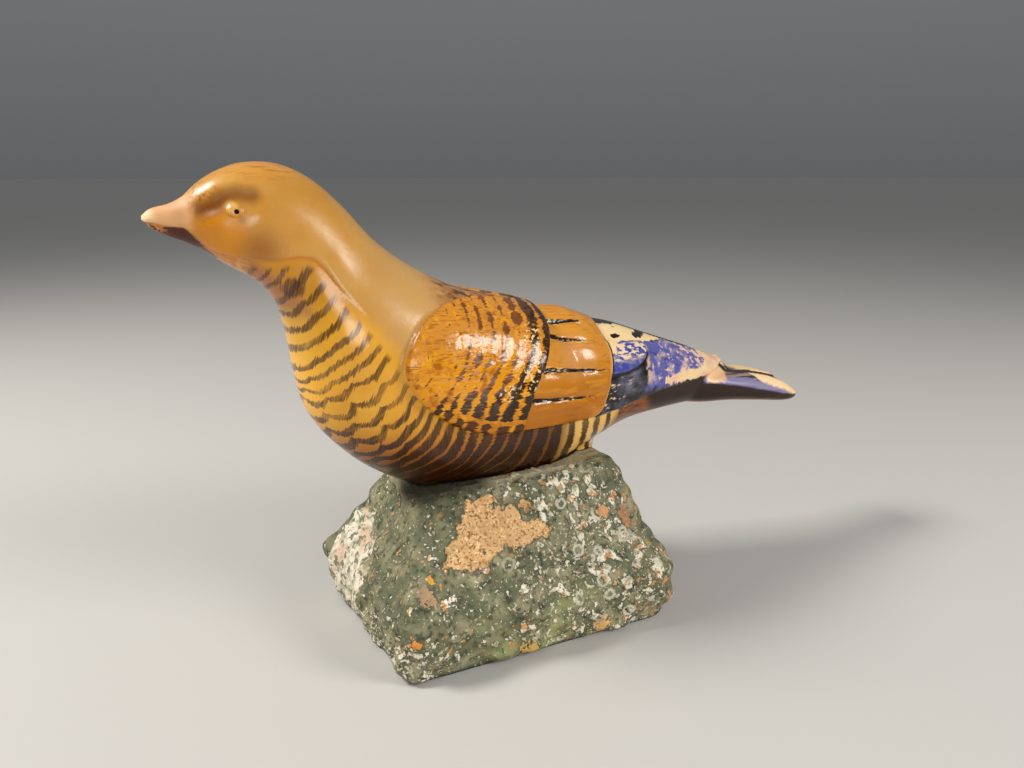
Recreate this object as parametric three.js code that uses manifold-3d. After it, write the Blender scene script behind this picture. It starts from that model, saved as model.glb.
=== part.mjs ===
// A soapstone quail, carved in one piece, sitting in the hollowed top of a rough stone base.
// Millimetres, +Z up. The origin is the middle of the base's underside.
// X runs along the bird from beak (-X) to tail (+X), and the bird's left side faces -Y.
import * as THREE from 'three';
import { mergeVertices } from 'three/addons/utils/BufferGeometryUtils.js';
import Module from 'manifold-3d';

const wasm = await Module();
wasm.setup();

// Driving dimensions.
const BIRD_LENGTH = 200;         // beak tip to tail tip
const BODY_WIDTH = 41;           // across the body under the wings
const HEAD_WIDTH = 23;           // across the cheeks
const TAIL_WIDTH = 20;           // across the tail feathers
const WING_RELIEF = 1.5;         // step at the edge of the folded wing
const WING_SWELL = 2.0;          // how much further the middle of the wing stands out
const COVERT_STEP = 0.6;         // the short feathers over the long ones
const PARTING_DEPTH = 0.8;       // grooves between the long wing feathers
const PARTING_WIDTH = 0.9;       // at their open end
const QUILL_RELIEF = 0.9;        // the dark flight feathers behind the wing
const EYE_DIAMETER = 4.0;
const EYE_SOCKET_DEPTH = 0.9;
const BASE_LENGTH = 88;          // footprint along the bird
const BASE_DEPTH = 70;           // footprint across it
const BASE_HEIGHT = 46;          // surface that it stands on, up to the rim of the seat
const BASE_RIM_LENGTH = 62;
const BASE_RIM_DEPTH = 36;
const BASE_RIM_ROUNDING = 4;
const BASE_UNDERCUT = 1.5;       // how far the rock draws in at its foot
const BASE_BULGE = 1.0;          // how far its lower third stands out
const CORNER_ROUNDING = 8;       // along each side from the rock's corners
const ROCK_BUMP = 1.5;           // height of the lumps on the rough faces
const SEAT_SINK = 7;             // depth of the belly below the rim
const SEAT_CLEARANCE = 0.3;      // gap between the bird and its seat
const MERGE_DISTANCE = 1e-4;     // points closer than this are one

// The bird's own measures are hundredths of its length, from the lowest point of its belly.
const share = BIRD_LENGTH / 100;
const bellyHeight = BASE_HEIGHT - SEAT_SINK;

// Sections of the body, each from a point on its upper outline to one on its lower outline.
// [upper x, upper z, lower x, lower z, width as a share of the piece's own, squareness]
const HEAD_STATIONS = [
  [-43.3, 38.5, -43.2, 38.1, 0.03, 2.0],    // beak tip
  [-42.2, 39.2, -42.6, 37.1, 0.17, 2.2],
  [-40.5, 39.6, -40.8, 36.2, 0.26, 2.2],    // middle of the beak
  [-38.8, 40.5, -38.3, 35.1, 0.42, 2.1],    // root of the beak
  [-37.2, 42.1, -36.4, 33.8, 0.64, 2.0],
  [-34.9, 43.6, -34.5, 32.5, 0.85, 2.0],    // forehead
  [-31.8, 44.5, -32.7, 31.4, 0.96, 2.0],    // crown and chin
  [-28.0, 44.3, -31.0, 30.0, 1.00, 2.0],
  [-24.2, 42.5, -29.7, 28.1, 1.02, 2.0],    // nape and throat
  [-20.6, 39.2, -28.9, 25.5, 1.10, 2.0],
];
const BODY_STATIONS = [
  [-17.3, 35.4, -28.4, 22.2, 0.72, 2.0],    // neck
  [-13.8, 32.6, -27.9, 18.1, 0.86, 2.0],
  [-10.0, 30.3, -26.9, 13.8, 0.95, 2.1],    // shoulders and breast
  [-5.8, 28.4, -24.2, 9.5, 1.00, 2.1],
  [-1.0, 27.0, -19.0, 4.6, 1.00, 2.1],
  [4.0, 24.9, -12.0, 1.1, 0.99, 2.1],       // back and belly
  [9.0, 23.4, -3.0, 0.0, 0.93, 2.1],
  [14.0, 22.3, 5.5, 0.5, 0.84, 2.1],
  [19.0, 21.2, 13.0, 3.2, 0.72, 2.1],       // rump and vent
  [24.5, 19.3, 19.8, 5.9, 0.60, 2.1],
  [30.0, 17.4, 26.5, 6.9, 0.50, 2.1],       // under the wing tips
  [35.5, 15.4, 33.0, 7.4, 0.40, 2.2],
  [40.0, 13.3, 38.5, 7.8, 0.26, 2.2],
  [42.0, 11.6, 41.8, 8.8, 0.06, 2.2],
];
const RINGS_PER_STATION = 2;
const SECTION_SIDES = 30;

// The folded wing in side view, [x, z], from its top edge round the shoulder to its lower edge.
const WING_FRONT = [
  [8.0, 28.5], [5.0, 25.6], [1.0, 26.0], [-3.0, 26.8], [-6.5, 27.2], [-10.2, 27.0], [-13.3, 25.6],
  [-15.4, 23.2], [-16.4, 20.6], [-16.1, 18.4], [-14.9, 16.3], [-12.8, 14.1], [-9.8, 12.0], [-5.6, 10.5],
  [-1.0, 10.1], [3.5, 9.9], [8.5, 9.9],
];
const WING_END = [
  [12.3, 10.2], [13.7, 12.8], [14.6, 15.6], [15.0, 18.0], [14.7, 20.0], [14.5, 21.5], [15.4, 29.0],
];
// The short feathers share the front of that outline, and end along a line of their own.
const COVERT_FRONT = WING_FRONT.slice(2, 14);
const COVERT_END = [
  [-1.2, 9.4], [-0.4, 12.4], [0.7, 15.6], [2.4, 17.9], [4.0, 20.6], [4.9, 22.6], [4.4, 24.9],
];
// The flight feathers behind the wing, and the short feather that lies over their root.
const QUILL_EDGE = [
  [12.0, 9.6], [17.0, 10.1], [21.1, 11.0], [25.4, 11.7], [30.0, 12.0], [34.5, 12.4],
  [37.8, 13.0], [40.2, 13.8], [40.2, 17.0], [12.0, 27.0],
];
const QUILL_COVERT = [
  [14.0, 15.6], [17.2, 15.5], [20.0, 16.0], [21.9, 17.0], [22.2, 18.0], [21.4, 18.8], [18.0, 19.2],
  [14.0, 19.4],
];
// Grooves between the long feathers, each from its open end to its point.
const FEATHER_PARTINGS = [
  [[4.9, 23.1], [10.8, 21.9]],
  [[4.2, 21.4], [10.6, 20.0]],
  [[2.1, 17.6], [14.0, 16.2]],
  [[0.1, 14.2], [12.2, 13.0]],
];
const SWELL_WIDTH = 5.5;         // from the wing's edge to its full swell
const SWELL_END = 15.2;          // the swell has faded out here, at the wing's end
const WING_PARTING = 0.25;       // from the line between the wings to each wing

// The tail: [x, width share, ridge z, edge z, underside z].
const TAIL_STATIONS = [
  [28.0, 0.70, 13.0, 11.6, 8.6],
  [35.0, 0.86, 12.6, 11.0, 7.2],
  [41.0, 0.95, 11.9, 9.9, 6.9],
  [47.0, 1.00, 11.0, 8.3, 6.3],
  [52.0, 0.96, 9.5, 7.1, 5.7],
  [54.8, 0.72, 7.9, 6.7, 5.7],
  [56.4, 0.34, 6.9, 6.4, 5.9],
];
const TAIL_SIDES = 20;
const TAIL_SQUARENESS = 3;
const MIDDLE_FEATHER = { start: 30, end: 51, halfWidth: 1.9, relief: 0.45, floor: 8 };

// The block that stands for the legs: [z, middle x, half length, half width].
const LEG_STATIONS = [
  [0.0, 12.2, 4.2, 3.6],
  [0.7, 12.2, 4.9, 4.2],
  [2.2, 12.2, 3.9, 3.6],
  [4.2, 12.0, 4.3, 4.0],
  [6.6, 10.6, 5.9, 5.0],
  [9.6, 8.6, 7.2, 5.8],
];
const LEG_SIDES = 18;
const EYE = { x: -33.8, z: 39.2, out: 0.87, socketLength: 3.0, socketHeight: 2.1, proud: 0.3 };
const BALL_SIDES = 16;

// A point between stations, on a smooth curve through them.
function blendStations(stations, place) {
  const last = stations.length - 1;
  const index = Math.min(Math.floor(place), last - 1);
  const t = place - index;
  const at = (i) => stations[Math.min(Math.max(i, 0), last)];
  return at(index).map((value, column) => {
    const before = index > 0 ? at(index - 1)[column] : 2 * value - at(1)[column];
    const after = at(index + 1)[column];
    const beyond = index + 2 > last ? 2 * after - value : at(index + 2)[column];
    const slope = after - before;
    const bend = 2 * before - 5 * value + 4 * after - beyond;
    const twist = 3 * value - before - 3 * after + beyond;
    return 0.5 * (2 * value + slope * t + bend * t * t + twist * t ** 3);
  });
}

// A closed skin over rings of points, with a fan over each end.
function loft(rings) {
  const sides = rings[0].length;
  const points = rings.flat();
  const middle = (ring) => ring.reduce((sum, p) => sum.add(p), new THREE.Vector3()).divideScalar(sides);
  const faces = [];
  for (let r = 0; r < rings.length - 1; r++) {
    for (let i = 0; i < sides; i++) {
      const a = r * sides + i;
      const b = r * sides + (i + 1) % sides;
      faces.push(a, b + sides, b, a, a + sides, b + sides);
    }
  }
  const first = points.push(middle(rings[0])) - 1;
  const end = points.push(middle(rings[rings.length - 1])) - 1;
  const lastRing = (rings.length - 1) * sides;
  for (let i = 0; i < sides; i++) {
    faces.push(first, i, (i + 1) % sides, end, lastRing + (i + 1) % sides, lastRing + i);
  }
  const geometry = new THREE.BufferGeometry().setFromPoints(points);
  geometry.setIndex(faces);
  return geometry;
}

// The same skin, each point moved out along its normal by what amountAt(point) says.
function grow(geometry, amountAt) {
  const grown = geometry.clone();
  grown.computeVertexNormals();
  const position = grown.attributes.position;
  const point = new THREE.Vector3();
  const normal = new THREE.Vector3();
  for (let i = 0; i < position.count; i++) {
    point.fromBufferAttribute(position, i);
    normal.fromBufferAttribute(grown.attributes.normal, i);
    point.addScaledVector(normal, amountAt(point));
    position.setXYZ(i, point.x, point.y, point.z);
  }
  return grown;
}

function toSolid(geometry) {
  const bare = geometry.clone();
  bare.deleteAttribute('normal');
  bare.deleteAttribute('uv');
  const merged = mergeVertices(bare, MERGE_DISTANCE);
  const vertProperties = new Float32Array(merged.attributes.position.array);
  const triVerts = new Uint32Array(merged.index.array);
  return new wasm.Manifold(new wasm.Mesh({ numProp: 3, vertProperties, triVerts }));
}

function toGeometry(solid) {
  const mesh = solid.getMesh();
  const geometry = new THREE.BufferGeometry();
  geometry.setAttribute('position', new THREE.BufferAttribute(new Float32Array(mesh.vertProperties), 3));
  geometry.setIndex(new THREE.BufferAttribute(new Uint32Array(mesh.triVerts), 1));
  geometry.computeVertexNormals();
  return geometry;
}

const birdX = (x) => x * share;
const birdZ = (z) => z * share + bellyHeight;
const power = (value, squareness) => Math.sign(value) * Math.abs(value) ** (2 / squareness);

function bodyGeometry() {
  const head = HEAD_STATIONS.map((s) => [...s.slice(0, 4), s[4] * HEAD_WIDTH / 2, s[5]]);
  const body = BODY_STATIONS.map((s) => [...s.slice(0, 4), s[4] * BODY_WIDTH / 2, s[5]]);
  const stations = [...head, ...body];
  const rings = [];
  const count = (stations.length - 1) * RINGS_PER_STATION;
  for (let r = 0; r <= count; r++) {
    const [upX, upZ, lowX, lowZ, half, squareness] = blendStations(stations, r / RINGS_PER_STATION);
    const ring = [];
    for (let i = 0; i < SECTION_SIDES; i++) {
      const angle = 2 * Math.PI * i / SECTION_SIDES;
      const rise = 0.5 + 0.5 * power(Math.cos(angle), squareness);
      const x = THREE.MathUtils.lerp(lowX, upX, rise);
      const z = THREE.MathUtils.lerp(lowZ, upZ, rise);
      ring.push(new THREE.Vector3(birdX(x), half * power(Math.sin(angle), squareness), birdZ(z)));
    }
    rings.push(ring);
  }
  return loft(rings);
}

// Distance from a side-view point to the nearest edge of an outline, in hundredths of the length.
function edgeDistance(outline, x, z) {
  let nearest = Infinity;
  outline.forEach((start, i) => {
    const stop = outline[(i + 1) % outline.length];
    const along = [stop[0] - start[0], stop[1] - start[1]];
    const reach = along[0] ** 2 + along[1] ** 2;
    const dot = (x - start[0]) * along[0] + (z - start[1]) * along[1];
    const t = THREE.MathUtils.clamp(dot / reach, 0, 1);
    nearest = Math.min(nearest, Math.hypot(x - start[0] - t * along[0], z - start[1] - t * along[1]));
  });
  return nearest;
}

// A slab standing over a side-view outline, on the bird's left side.
function sidePrism(outline) {
  const shape = new THREE.Shape(outline.map(([x, z]) => new THREE.Vector2(birdX(x), birdZ(z))));
  const prism = new THREE.ExtrudeGeometry(shape, { depth: BODY_WIDTH, bevelEnabled: false });
  prism.rotateX(Math.PI / 2);
  prism.translate(0, -WING_PARTING, 0);
  return toSolid(prism);
}

function withMirror(solid) {
  return solid.add(solid.mirror([0, 1, 0]));
}

// One layer of feathers: the body's own skin grown outwards, kept inside an outline.
function featherLayer(body, outline, amountAt) {
  return withMirror(toSolid(grow(body, amountAt)).intersect(sidePrism(outline)));
}

// The wing's height over the body: a step at its edge, then a swell towards its middle.
function wingHeight(point) {
  const x = point.x / share;
  const z = (point.z - bellyHeight) / share;
  const inside = Math.min(edgeDistance([...WING_FRONT.slice(1), WING_END[0]], x, z) / SWELL_WIDTH, 1);
  const fade = THREE.MathUtils.clamp((SWELL_END - x) / SWELL_WIDTH, 0, 1);
  return WING_RELIEF + WING_SWELL * Math.sin(inside * Math.PI / 2) * fade;
}

function wingLayers(body) {
  const coverts = [...COVERT_FRONT, ...COVERT_END];
  return [
    featherLayer(body, [...WING_FRONT, ...WING_END], wingHeight),
    featherLayer(body, coverts, (point) => wingHeight(point) + COVERT_STEP),
    featherLayer(body, QUILL_EDGE, () => QUILL_RELIEF),
    featherLayer(body, QUILL_COVERT, () => QUILL_RELIEF + COVERT_STEP),
  ];
}

// What is cut away between the long feathers, down to the parting depth.
function featherPartings(body) {
  const floor = toSolid(grow(body, (point) => wingHeight(point) - PARTING_DEPTH));
  const cuts = FEATHER_PARTINGS.map(([[openX, openZ], tip]) => {
    const half = PARTING_WIDTH / share / 2;
    return withMirror(sidePrism([[openX, openZ - half], tip, [openX, openZ + half]]).subtract(floor));
  });
  return cuts.reduce((all, cut) => all.add(cut));
}

function tailGeometry() {
  const rings = [];
  const count = (TAIL_STATIONS.length - 1) * RINGS_PER_STATION;
  for (let r = 0; r <= count; r++) {
    const [x, width, ridge, edge, under] = blendStations(TAIL_STATIONS, r / RINGS_PER_STATION);
    const ring = [];
    for (let i = 0; i < TAIL_SIDES; i++) {
      const angle = 2 * Math.PI * i / TAIL_SIDES;
      const side = power(Math.sin(angle), TAIL_SQUARENESS);
      const level = Math.cos(angle) > 0 ? ridge : under;
      const z = edge + (level - edge) * Math.abs(Math.cos(angle));
      ring.push(new THREE.Vector3(birdX(x), side * width * TAIL_WIDTH / 2, birdZ(z)));
    }
    rings.push(ring);
  }
  return loft(rings);
}

// The middle tail feather lies over the others and stops short of them.
function middleFeather(tail) {
  const { start, end, halfWidth, relief, floor } = MIDDLE_FEATHER;
  const slab = new THREE.BoxGeometry((end - start) * share, 2 * halfWidth * share, TAIL_WIDTH);
  slab.translate(birdX((start + end) / 2), 0, birdZ(floor) + TAIL_WIDTH / 2);
  return toSolid(grow(tail, () => relief * share)).intersect(toSolid(slab));
}

function legGeometry() {
  const rings = [];
  const count = (LEG_STATIONS.length - 1) * RINGS_PER_STATION;
  for (let r = 0; r <= count; r++) {
    const [z, middle, halfLength, halfWidth] = blendStations(LEG_STATIONS, r / RINGS_PER_STATION);
    const ring = [];
    for (let i = 0; i < LEG_SIDES; i++) {
      const angle = -2 * Math.PI * i / LEG_SIDES;
      const x = birdX(middle + halfLength * Math.cos(angle));
      ring.push(new THREE.Vector3(x, birdX(halfWidth * Math.sin(angle)), birdZ(z)));
    }
    rings.push(ring);
  }
  return loft(rings);
}

function ellipsoid(radiusX, radiusY, radiusZ) {
  const ball = new THREE.SphereGeometry(1, BALL_SIDES, BALL_SIDES / 2);
  ball.scale(radiusX, radiusY, radiusZ);
  return ball;
}

// Each eye is a bead left standing in a shallow hollow.
function carveEyes(bird) {
  const half = EYE.out * HEAD_WIDTH / 2;
  const hollow = ellipsoid(EYE.socketLength * share, 2 * EYE_SOCKET_DEPTH, EYE.socketHeight * share);
  hollow.translate(birdX(EYE.x), -half - EYE_SOCKET_DEPTH, birdZ(EYE.z));
  const bead = ellipsoid(EYE_DIAMETER / 2, EYE_DIAMETER / 2, EYE_DIAMETER / 2);
  bead.translate(birdX(EYE.x), -half - EYE.proud * EYE_SOCKET_DEPTH + EYE_DIAMETER / 2, birdZ(EYE.z));
  return bird.subtract(withMirror(toSolid(hollow))).add(withMirror(toSolid(bead)));
}

function birdSolid() {
  const body = bodyGeometry();
  const tail = tailGeometry();
  let bird = toSolid(body);
  [...wingLayers(body), toSolid(tail), middleFeather(tail), toSolid(legGeometry())].forEach((part) => {
    bird = bird.add(part);
  });
  return carveEyes(bird.subtract(featherPartings(body)));
}

// The rock's four corners, clockwise from above: [along, across] as shares of the half length and
// depth, at the foot and at the rim, and how high each one reaches as a share of the base's height.
const ROCK_CORNERS = [
  { foot: [-0.90, -0.98], rim: [-0.74, -1.11], rise: 0.96 },   // front left
  { foot: [-1.04, 0.83], rim: [-1.06, 0.78], rise: 0.92 },     // back left
  { foot: [0.89, 0.94], rim: [0.90, 0.89], rise: 1.00 },       // back right
  { foot: [0.98, -0.97], rim: [1.10, -1.11], rise: 0.99 },     // front right
];
// Its rings: [height share, inset, share of the way from foot to rim, rounding of the corners].
const ROCK_LEVELS = [
  [0.0, BASE_UNDERCUT, 0, CORNER_ROUNDING],
  [0.06, 0, 0, CORNER_ROUNDING],
  [0.34, -BASE_BULGE, 0.03, CORNER_ROUNDING],
  [0.6, 0, 0.47, CORNER_ROUNDING],
  [0.93, 0, 1, CORNER_ROUNDING],
  [1.0, BASE_RIM_ROUNDING, 1, CORNER_ROUNDING - BASE_BULGE],
];
const ROCK_RINGS_PER_LEVEL = 3;
const CORNER_STEPS = 5;
const SIDE_STEPS = 8;
// Two crossing waves for each size of lump: [turns along, across, up, start], in radians per mm.
const ROCK_LUMPS = [
  { weight: 0.65, waves: [[0.21, 0, 0.13, 0], [0, 0.27, -0.19, 1.3]] },
  { weight: 0.35, waves: [[0.53, -0.41, 0, 0.7], [0, 0.35, 0.61, 0]] },
];

// Smooth lumps that repeat nowhere on the rock, between -1 and 1.
function lumps({ x, y, z }) {
  const wave = ([along, across, up, start]) => Math.sin(x * along + y * across + z * up + start);
  return ROCK_LUMPS.reduce((sum, { weight, waves }) => sum + weight * wave(waves[0]) * wave(waves[1]), 0);
}

// A four-sided ring with rounded corners.
function rockRing([height, inset, way, rounding]) {
  const { lerp } = THREE.MathUtils;
  const corners = ROCK_CORNERS.map(({ foot, rim, rise }) => {
    const x = lerp(foot[0] * BASE_LENGTH, rim[0] * BASE_RIM_LENGTH, way) / 2;
    const y = lerp(foot[1] * BASE_DEPTH, rim[1] * BASE_RIM_DEPTH, way) / 2;
    return new THREE.Vector3(x, y, height * rise * BASE_HEIGHT);
  });
  const arcs = corners.map((corner, k) => {
    const toBefore = corners[(k + 3) % 4].clone().sub(corner).normalize();
    const toNext = corners[(k + 1) % 4].clone().sub(corner).normalize();
    const tip = corner.clone().addScaledVector(toBefore, inset).addScaledVector(toNext, inset);
    const start = tip.clone().addScaledVector(toBefore, rounding);
    const stop = tip.clone().addScaledVector(toNext, rounding);
    return new THREE.QuadraticBezierCurve3(start, tip, stop).getPoints(CORNER_STEPS);
  });
  return arcs.flatMap((arc, k) => {
    const side = new THREE.LineCurve3(arc[CORNER_STEPS], arcs[(k + 1) % 4][0]).getPoints(SIDE_STEPS);
    return [...arc, ...side.slice(1, SIDE_STEPS)];
  });
}

function rockGeometry() {
  const rings = [];
  const count = (ROCK_LEVELS.length - 1) * ROCK_RINGS_PER_LEVEL;
  for (let r = 0; r <= count; r++) {
    const ring = rockRing(blendStations(ROCK_LEVELS, r / ROCK_RINGS_PER_LEVEL));
    if (r > 1 && r < count - 1) {
      ring.forEach((point) => {
        const bump = 1 + ROCK_BUMP * lumps(point) / (BASE_DEPTH / 2);
        point.set(point.x * bump, point.y * bump, point.z);
      });
    }
    rings.push(ring);
  }
  return loft(rings);
}

function rockSolid() {
  const clear = () => SEAT_CLEARANCE;
  const seat = toSolid(grow(bodyGeometry(), clear)).add(toSolid(grow(legGeometry(), clear)));
  return toSolid(rockGeometry()).subtract(seat);
}

function stoneMesh(name, solid, color, roughness) {
  const material = new THREE.MeshStandardMaterial({ color, roughness, metalness: 0 });
  const mesh = new THREE.Mesh(toGeometry(solid), material);
  mesh.name = name;
  return mesh;
}

const group = new THREE.Group();
group.add(stoneMesh('bird', birdSolid(), 0xc48a35, 0.32));
group.add(stoneMesh('rock_base', rockSolid(), 0x4a5444, 0.75));

export default group;
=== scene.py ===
import math

import bmesh
import bpy
import numpy as np
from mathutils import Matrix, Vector, noise
from mathutils.bvhtree import BVHTree


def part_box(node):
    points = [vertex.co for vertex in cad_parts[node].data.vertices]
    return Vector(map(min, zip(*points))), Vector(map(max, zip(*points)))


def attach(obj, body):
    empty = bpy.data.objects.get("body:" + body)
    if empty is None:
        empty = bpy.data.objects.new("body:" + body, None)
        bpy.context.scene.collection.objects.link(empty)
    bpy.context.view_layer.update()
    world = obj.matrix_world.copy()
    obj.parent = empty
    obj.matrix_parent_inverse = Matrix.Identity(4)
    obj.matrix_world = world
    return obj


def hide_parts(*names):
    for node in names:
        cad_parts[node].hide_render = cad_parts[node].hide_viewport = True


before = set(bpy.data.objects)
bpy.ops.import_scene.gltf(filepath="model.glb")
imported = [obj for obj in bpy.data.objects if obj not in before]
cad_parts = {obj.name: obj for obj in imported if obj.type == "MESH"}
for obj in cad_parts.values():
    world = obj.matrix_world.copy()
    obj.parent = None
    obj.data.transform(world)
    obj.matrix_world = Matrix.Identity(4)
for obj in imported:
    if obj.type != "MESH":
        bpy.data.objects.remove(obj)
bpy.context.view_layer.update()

MM = 0.001
FINE = 1

# Driving dimensions, the part's own.
bird_low, bird_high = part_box("bird")
BEAK_TIP = -43.3
TAIL_TIP = 56.4
SHARE = (bird_high.x - bird_low.x) / MM / (TAIL_TIP - BEAK_TIP)
BELLY = bird_low.z / MM
BASE_HEIGHT = 46
BODY_WIDTH = 41
HEAD_WIDTH = 23
TAIL_WIDTH = 20
WING_RELIEF = 1.5
WING_SWELL = 2.0
COVERT_STEP = 0.6
PARTING_DEPTH = 0.8
PARTING_WIDTH = 0.9
QUILL_RELIEF = 0.9
BASE_LENGTH = 88
BASE_DEPTH = 70
BASE_RIM_LENGTH = 62
BASE_RIM_DEPTH = 36
BASE_RIM_ROUNDING = 4
BASE_UNDERCUT = 1.5
BASE_BULGE = 1.0
CORNER_ROUNDING = 8
ROCK_BUMP = 1.5
SEAT_CLEARANCE = 0.3

# Carving that is finer than the part's own.
LIP_RELIEF = 0.5           # the plain head and neck stand over the scaled throat
LIP_CREST = 3              # how far behind its lip that step starts to die out
LIP_REACH = 16             # and where it has died out
LIP_END = (-24.5, -18.5)   # along the bird, where the lip itself dies out on the neck
BROW_DEPTH = 0.75
BROW_WIDTH = 1.9
FEATHER_CROWN = 0.3        # soft valley along the partings
SEAM_DEPTH = 0.4           # line where the two wings meet
SEAM_WIDTH = 0.6
SEAM_LOWEST = 15           # the wings meet only above this height
COLUMN_RELIEF = 0.05       # the amber columns between the dark bars stand a little proud
COLUMN_EDGE = (1, 4)       # inside the coverts' outline, and along the bird, where they start
COLUMN_START = (-12, -7)
HOLLOW_DEPTH = 0.35        # shallow hollow round the eye
HOLLOW_SLOPE = (0.2, 1.2)  # from its floor to its rim, in shares of its reach
BEAD_RADIUS = 1.75
BEAD_RISE = 0.7
BEAD_PROUD = 0.32
PUPIL_DIAMETER = 1.1
PUPIL_WALL = (0.35, 0.55)  # from its floor to its rim, in shares of its diameter
PUPIL_DEPTH = 0.35
PUPIL_SHIFT = 0.3          # the pupil sits low and back in its bead
EYE_REACH = 1.4            # bead radii that get smaller faces
FACE_SIDES = (0.12, 0.3)   # the face's forms fade towards its middle, in shares of its width
TOP_FACING = (0.2, 0.7)    # upward share of a normal on the tail's top
STEP = 0.9                 # width of a carved step's slope
FAR = 300                  # beyond the bird on every side

# Fineness of the meshes, in mm.
BIRD_VOXEL = 0.58
ROCK_GRID = 0.62
ROCK_ARC = 1.6              # a corner's arc in its roundings
ROCK_SIDE = 0.455           # a side between corners, in the sum of length and depth
ROCK_SLOPE = 1.25           # the way up from foot to rim, in the rock's height
SEAT_VOXEL = 0.8

# The rock's skin: reliefs in mm.
CRUST_RELIEF = 0.35
BARE_RELIEF = 0.5
SCALE_RELIEF = 0.35
PIT_DEPTH = 0.6
SIDE_ROUGHNESS = 0.12      # the other sides are much smoother
FRONT_ROUGHNESS = 0.98     # and the front has this much more
CRUST_LEVEL = 0.43         # crust lies where its noise is above this
CRUST_RIGHT = 0.21         # more of it towards the right of the front
CRUST_PLAIN = 0.12         # less of it on the other sides
CRUST_FOOT = 0.1           # more of it low on the left
FOOT_FADE = (0.2, 2.5)     # the roughness grows over this height
OFF_PATCH = 20             # a patch can't reach the faces that this is taken from
# Noise on the rock, as rows of lump size in mm, octaves, seed and weight.
PIT_NOISE = [(4.5, 3, 4.0, 1.0)]
PIT_EDGE = (0.35, 0.75)
ROUGH_NOISE = [(9.0, 4, 1.0, 0.2), (2.4, 4, 2.0, 0.26)]
CRUST_NOISE = [(5.5, 3, 3.0, 0.6), (2.6, 3, 8.0, 0.75)]
BARE_EDGE_NOISE = [(4.0, 5, 5.0, 3.2)]
SCALY_EDGE_NOISE = [(6.0, 4, 6.0, 3.0)]

# Sections of the body: [upper x, upper z, lower x, lower z, width share, squareness].
HEAD_STATIONS = [
    [-43.3, 38.5, -43.2, 38.1, 0.03, 2.0],
    [-42.2, 39.2, -42.6, 37.1, 0.17, 2.2],
    [-40.5, 39.6, -40.8, 36.2, 0.26, 2.2],
    [-38.8, 40.5, -38.3, 35.1, 0.42, 2.1],
    [-37.2, 42.1, -36.4, 33.8, 0.64, 2.0],
    [-34.9, 43.6, -34.5, 32.5, 0.85, 2.0],
    [-31.8, 44.5, -32.7, 31.4, 0.96, 2.0],
    [-28.0, 44.3, -31.0, 30.0, 1.00, 2.0],
    [-24.2, 42.5, -29.7, 28.1, 1.02, 2.0],
    [-20.6, 39.2, -28.9, 25.5, 1.10, 2.0],
]
BODY_STATIONS = [
    [-17.3, 35.4, -28.4, 22.2, 0.72, 2.0],
    [-13.8, 32.6, -27.9, 18.1, 0.86, 2.0],
    [-10.0, 30.3, -26.9, 13.8, 0.95, 2.1],
    [-5.8, 28.4, -24.2, 9.5, 1.00, 2.1],
    [-1.0, 27.0, -19.0, 4.6, 1.00, 2.1],
    [4.0, 24.9, -12.0, 1.1, 0.99, 2.1],
    [9.0, 23.4, -3.0, 0.0, 0.93, 2.1],
    [14.0, 22.3, 5.5, 0.5, 0.84, 2.1],
    [19.0, 21.2, 13.0, 3.2, 0.72, 2.1],
    [24.5, 19.3, 19.8, 5.9, 0.60, 2.1],
    [30.0, 17.4, 26.5, 6.9, 0.50, 2.1],
    [35.5, 15.4, 33.0, 7.4, 0.40, 2.2],
    [40.0, 13.3, 38.5, 7.8, 0.26, 2.2],
    [42.0, 11.6, 41.8, 8.8, 0.06, 2.2],
]
# The tail: [x, width share, ridge z, edge z, underside z].
TAIL_STATIONS = [
    [28.0, 0.70, 13.0, 11.6, 8.6],
    [35.0, 0.86, 12.6, 11.0, 7.2],
    [41.0, 0.95, 11.9, 9.9, 6.9],
    [47.0, 1.00, 11.0, 8.3, 6.3],
    [52.0, 0.96, 9.5, 7.1, 5.7],
    [54.8, 0.72, 7.9, 6.7, 5.7],
    [56.4, 0.34, 6.9, 6.4, 5.9],
]
TAIL_SQUARENESS = 3
# The block that stands for the legs: [z, middle x, half length, half width].
LEG_STATIONS = [
    [0.0, 12.2, 4.2, 3.6],
    [0.7, 12.2, 4.9, 4.2],
    [2.2, 12.2, 3.9, 3.6],
    [4.2, 12.0, 4.3, 4.0],
    [6.6, 10.6, 5.9, 5.0],
    [9.6, 8.6, 7.2, 5.8],
]
# The rock's corners, clockwise from above, in shares of half its length and depth at foot and rim.
ROCK_CORNERS = [
    {"foot": [-0.90, -0.98], "rim": [-0.74, -1.11], "rise": 0.96},
    {"foot": [-1.04, 0.83], "rim": [-1.06, 0.78], "rise": 0.92},
    {"foot": [0.89, 0.94], "rim": [0.90, 0.89], "rise": 1.00},
    {"foot": [0.98, -0.97], "rim": [1.10, -1.11], "rise": 0.99},
]
# Its levels: [height share, inset, share of the way from foot to rim, rounding of the corners].
ROCK_LEVELS = [
    [0.0, BASE_UNDERCUT, 0, CORNER_ROUNDING],
    [0.06, 0, 0, CORNER_ROUNDING],
    [0.34, -BASE_BULGE, 0.03, CORNER_ROUNDING],
    [0.6, 0, 0.47, CORNER_ROUNDING],
    [0.93, 0, 1, CORNER_ROUNDING],
    [1.0, BASE_RIM_ROUNDING, 1, CORNER_ROUNDING - BASE_BULGE],
]
# Its broad lumps: weight, then two waves of [turns along, across and up, start].
ROCK_LUMPS = [
    (0.65, [0.21, 0, 0.13, 0], [0, 0.27, -0.19, 1.3]),
    (0.35, [0.53, -0.41, 0, 0.7], [0, 0.35, 0.61, 0]),
]

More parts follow.
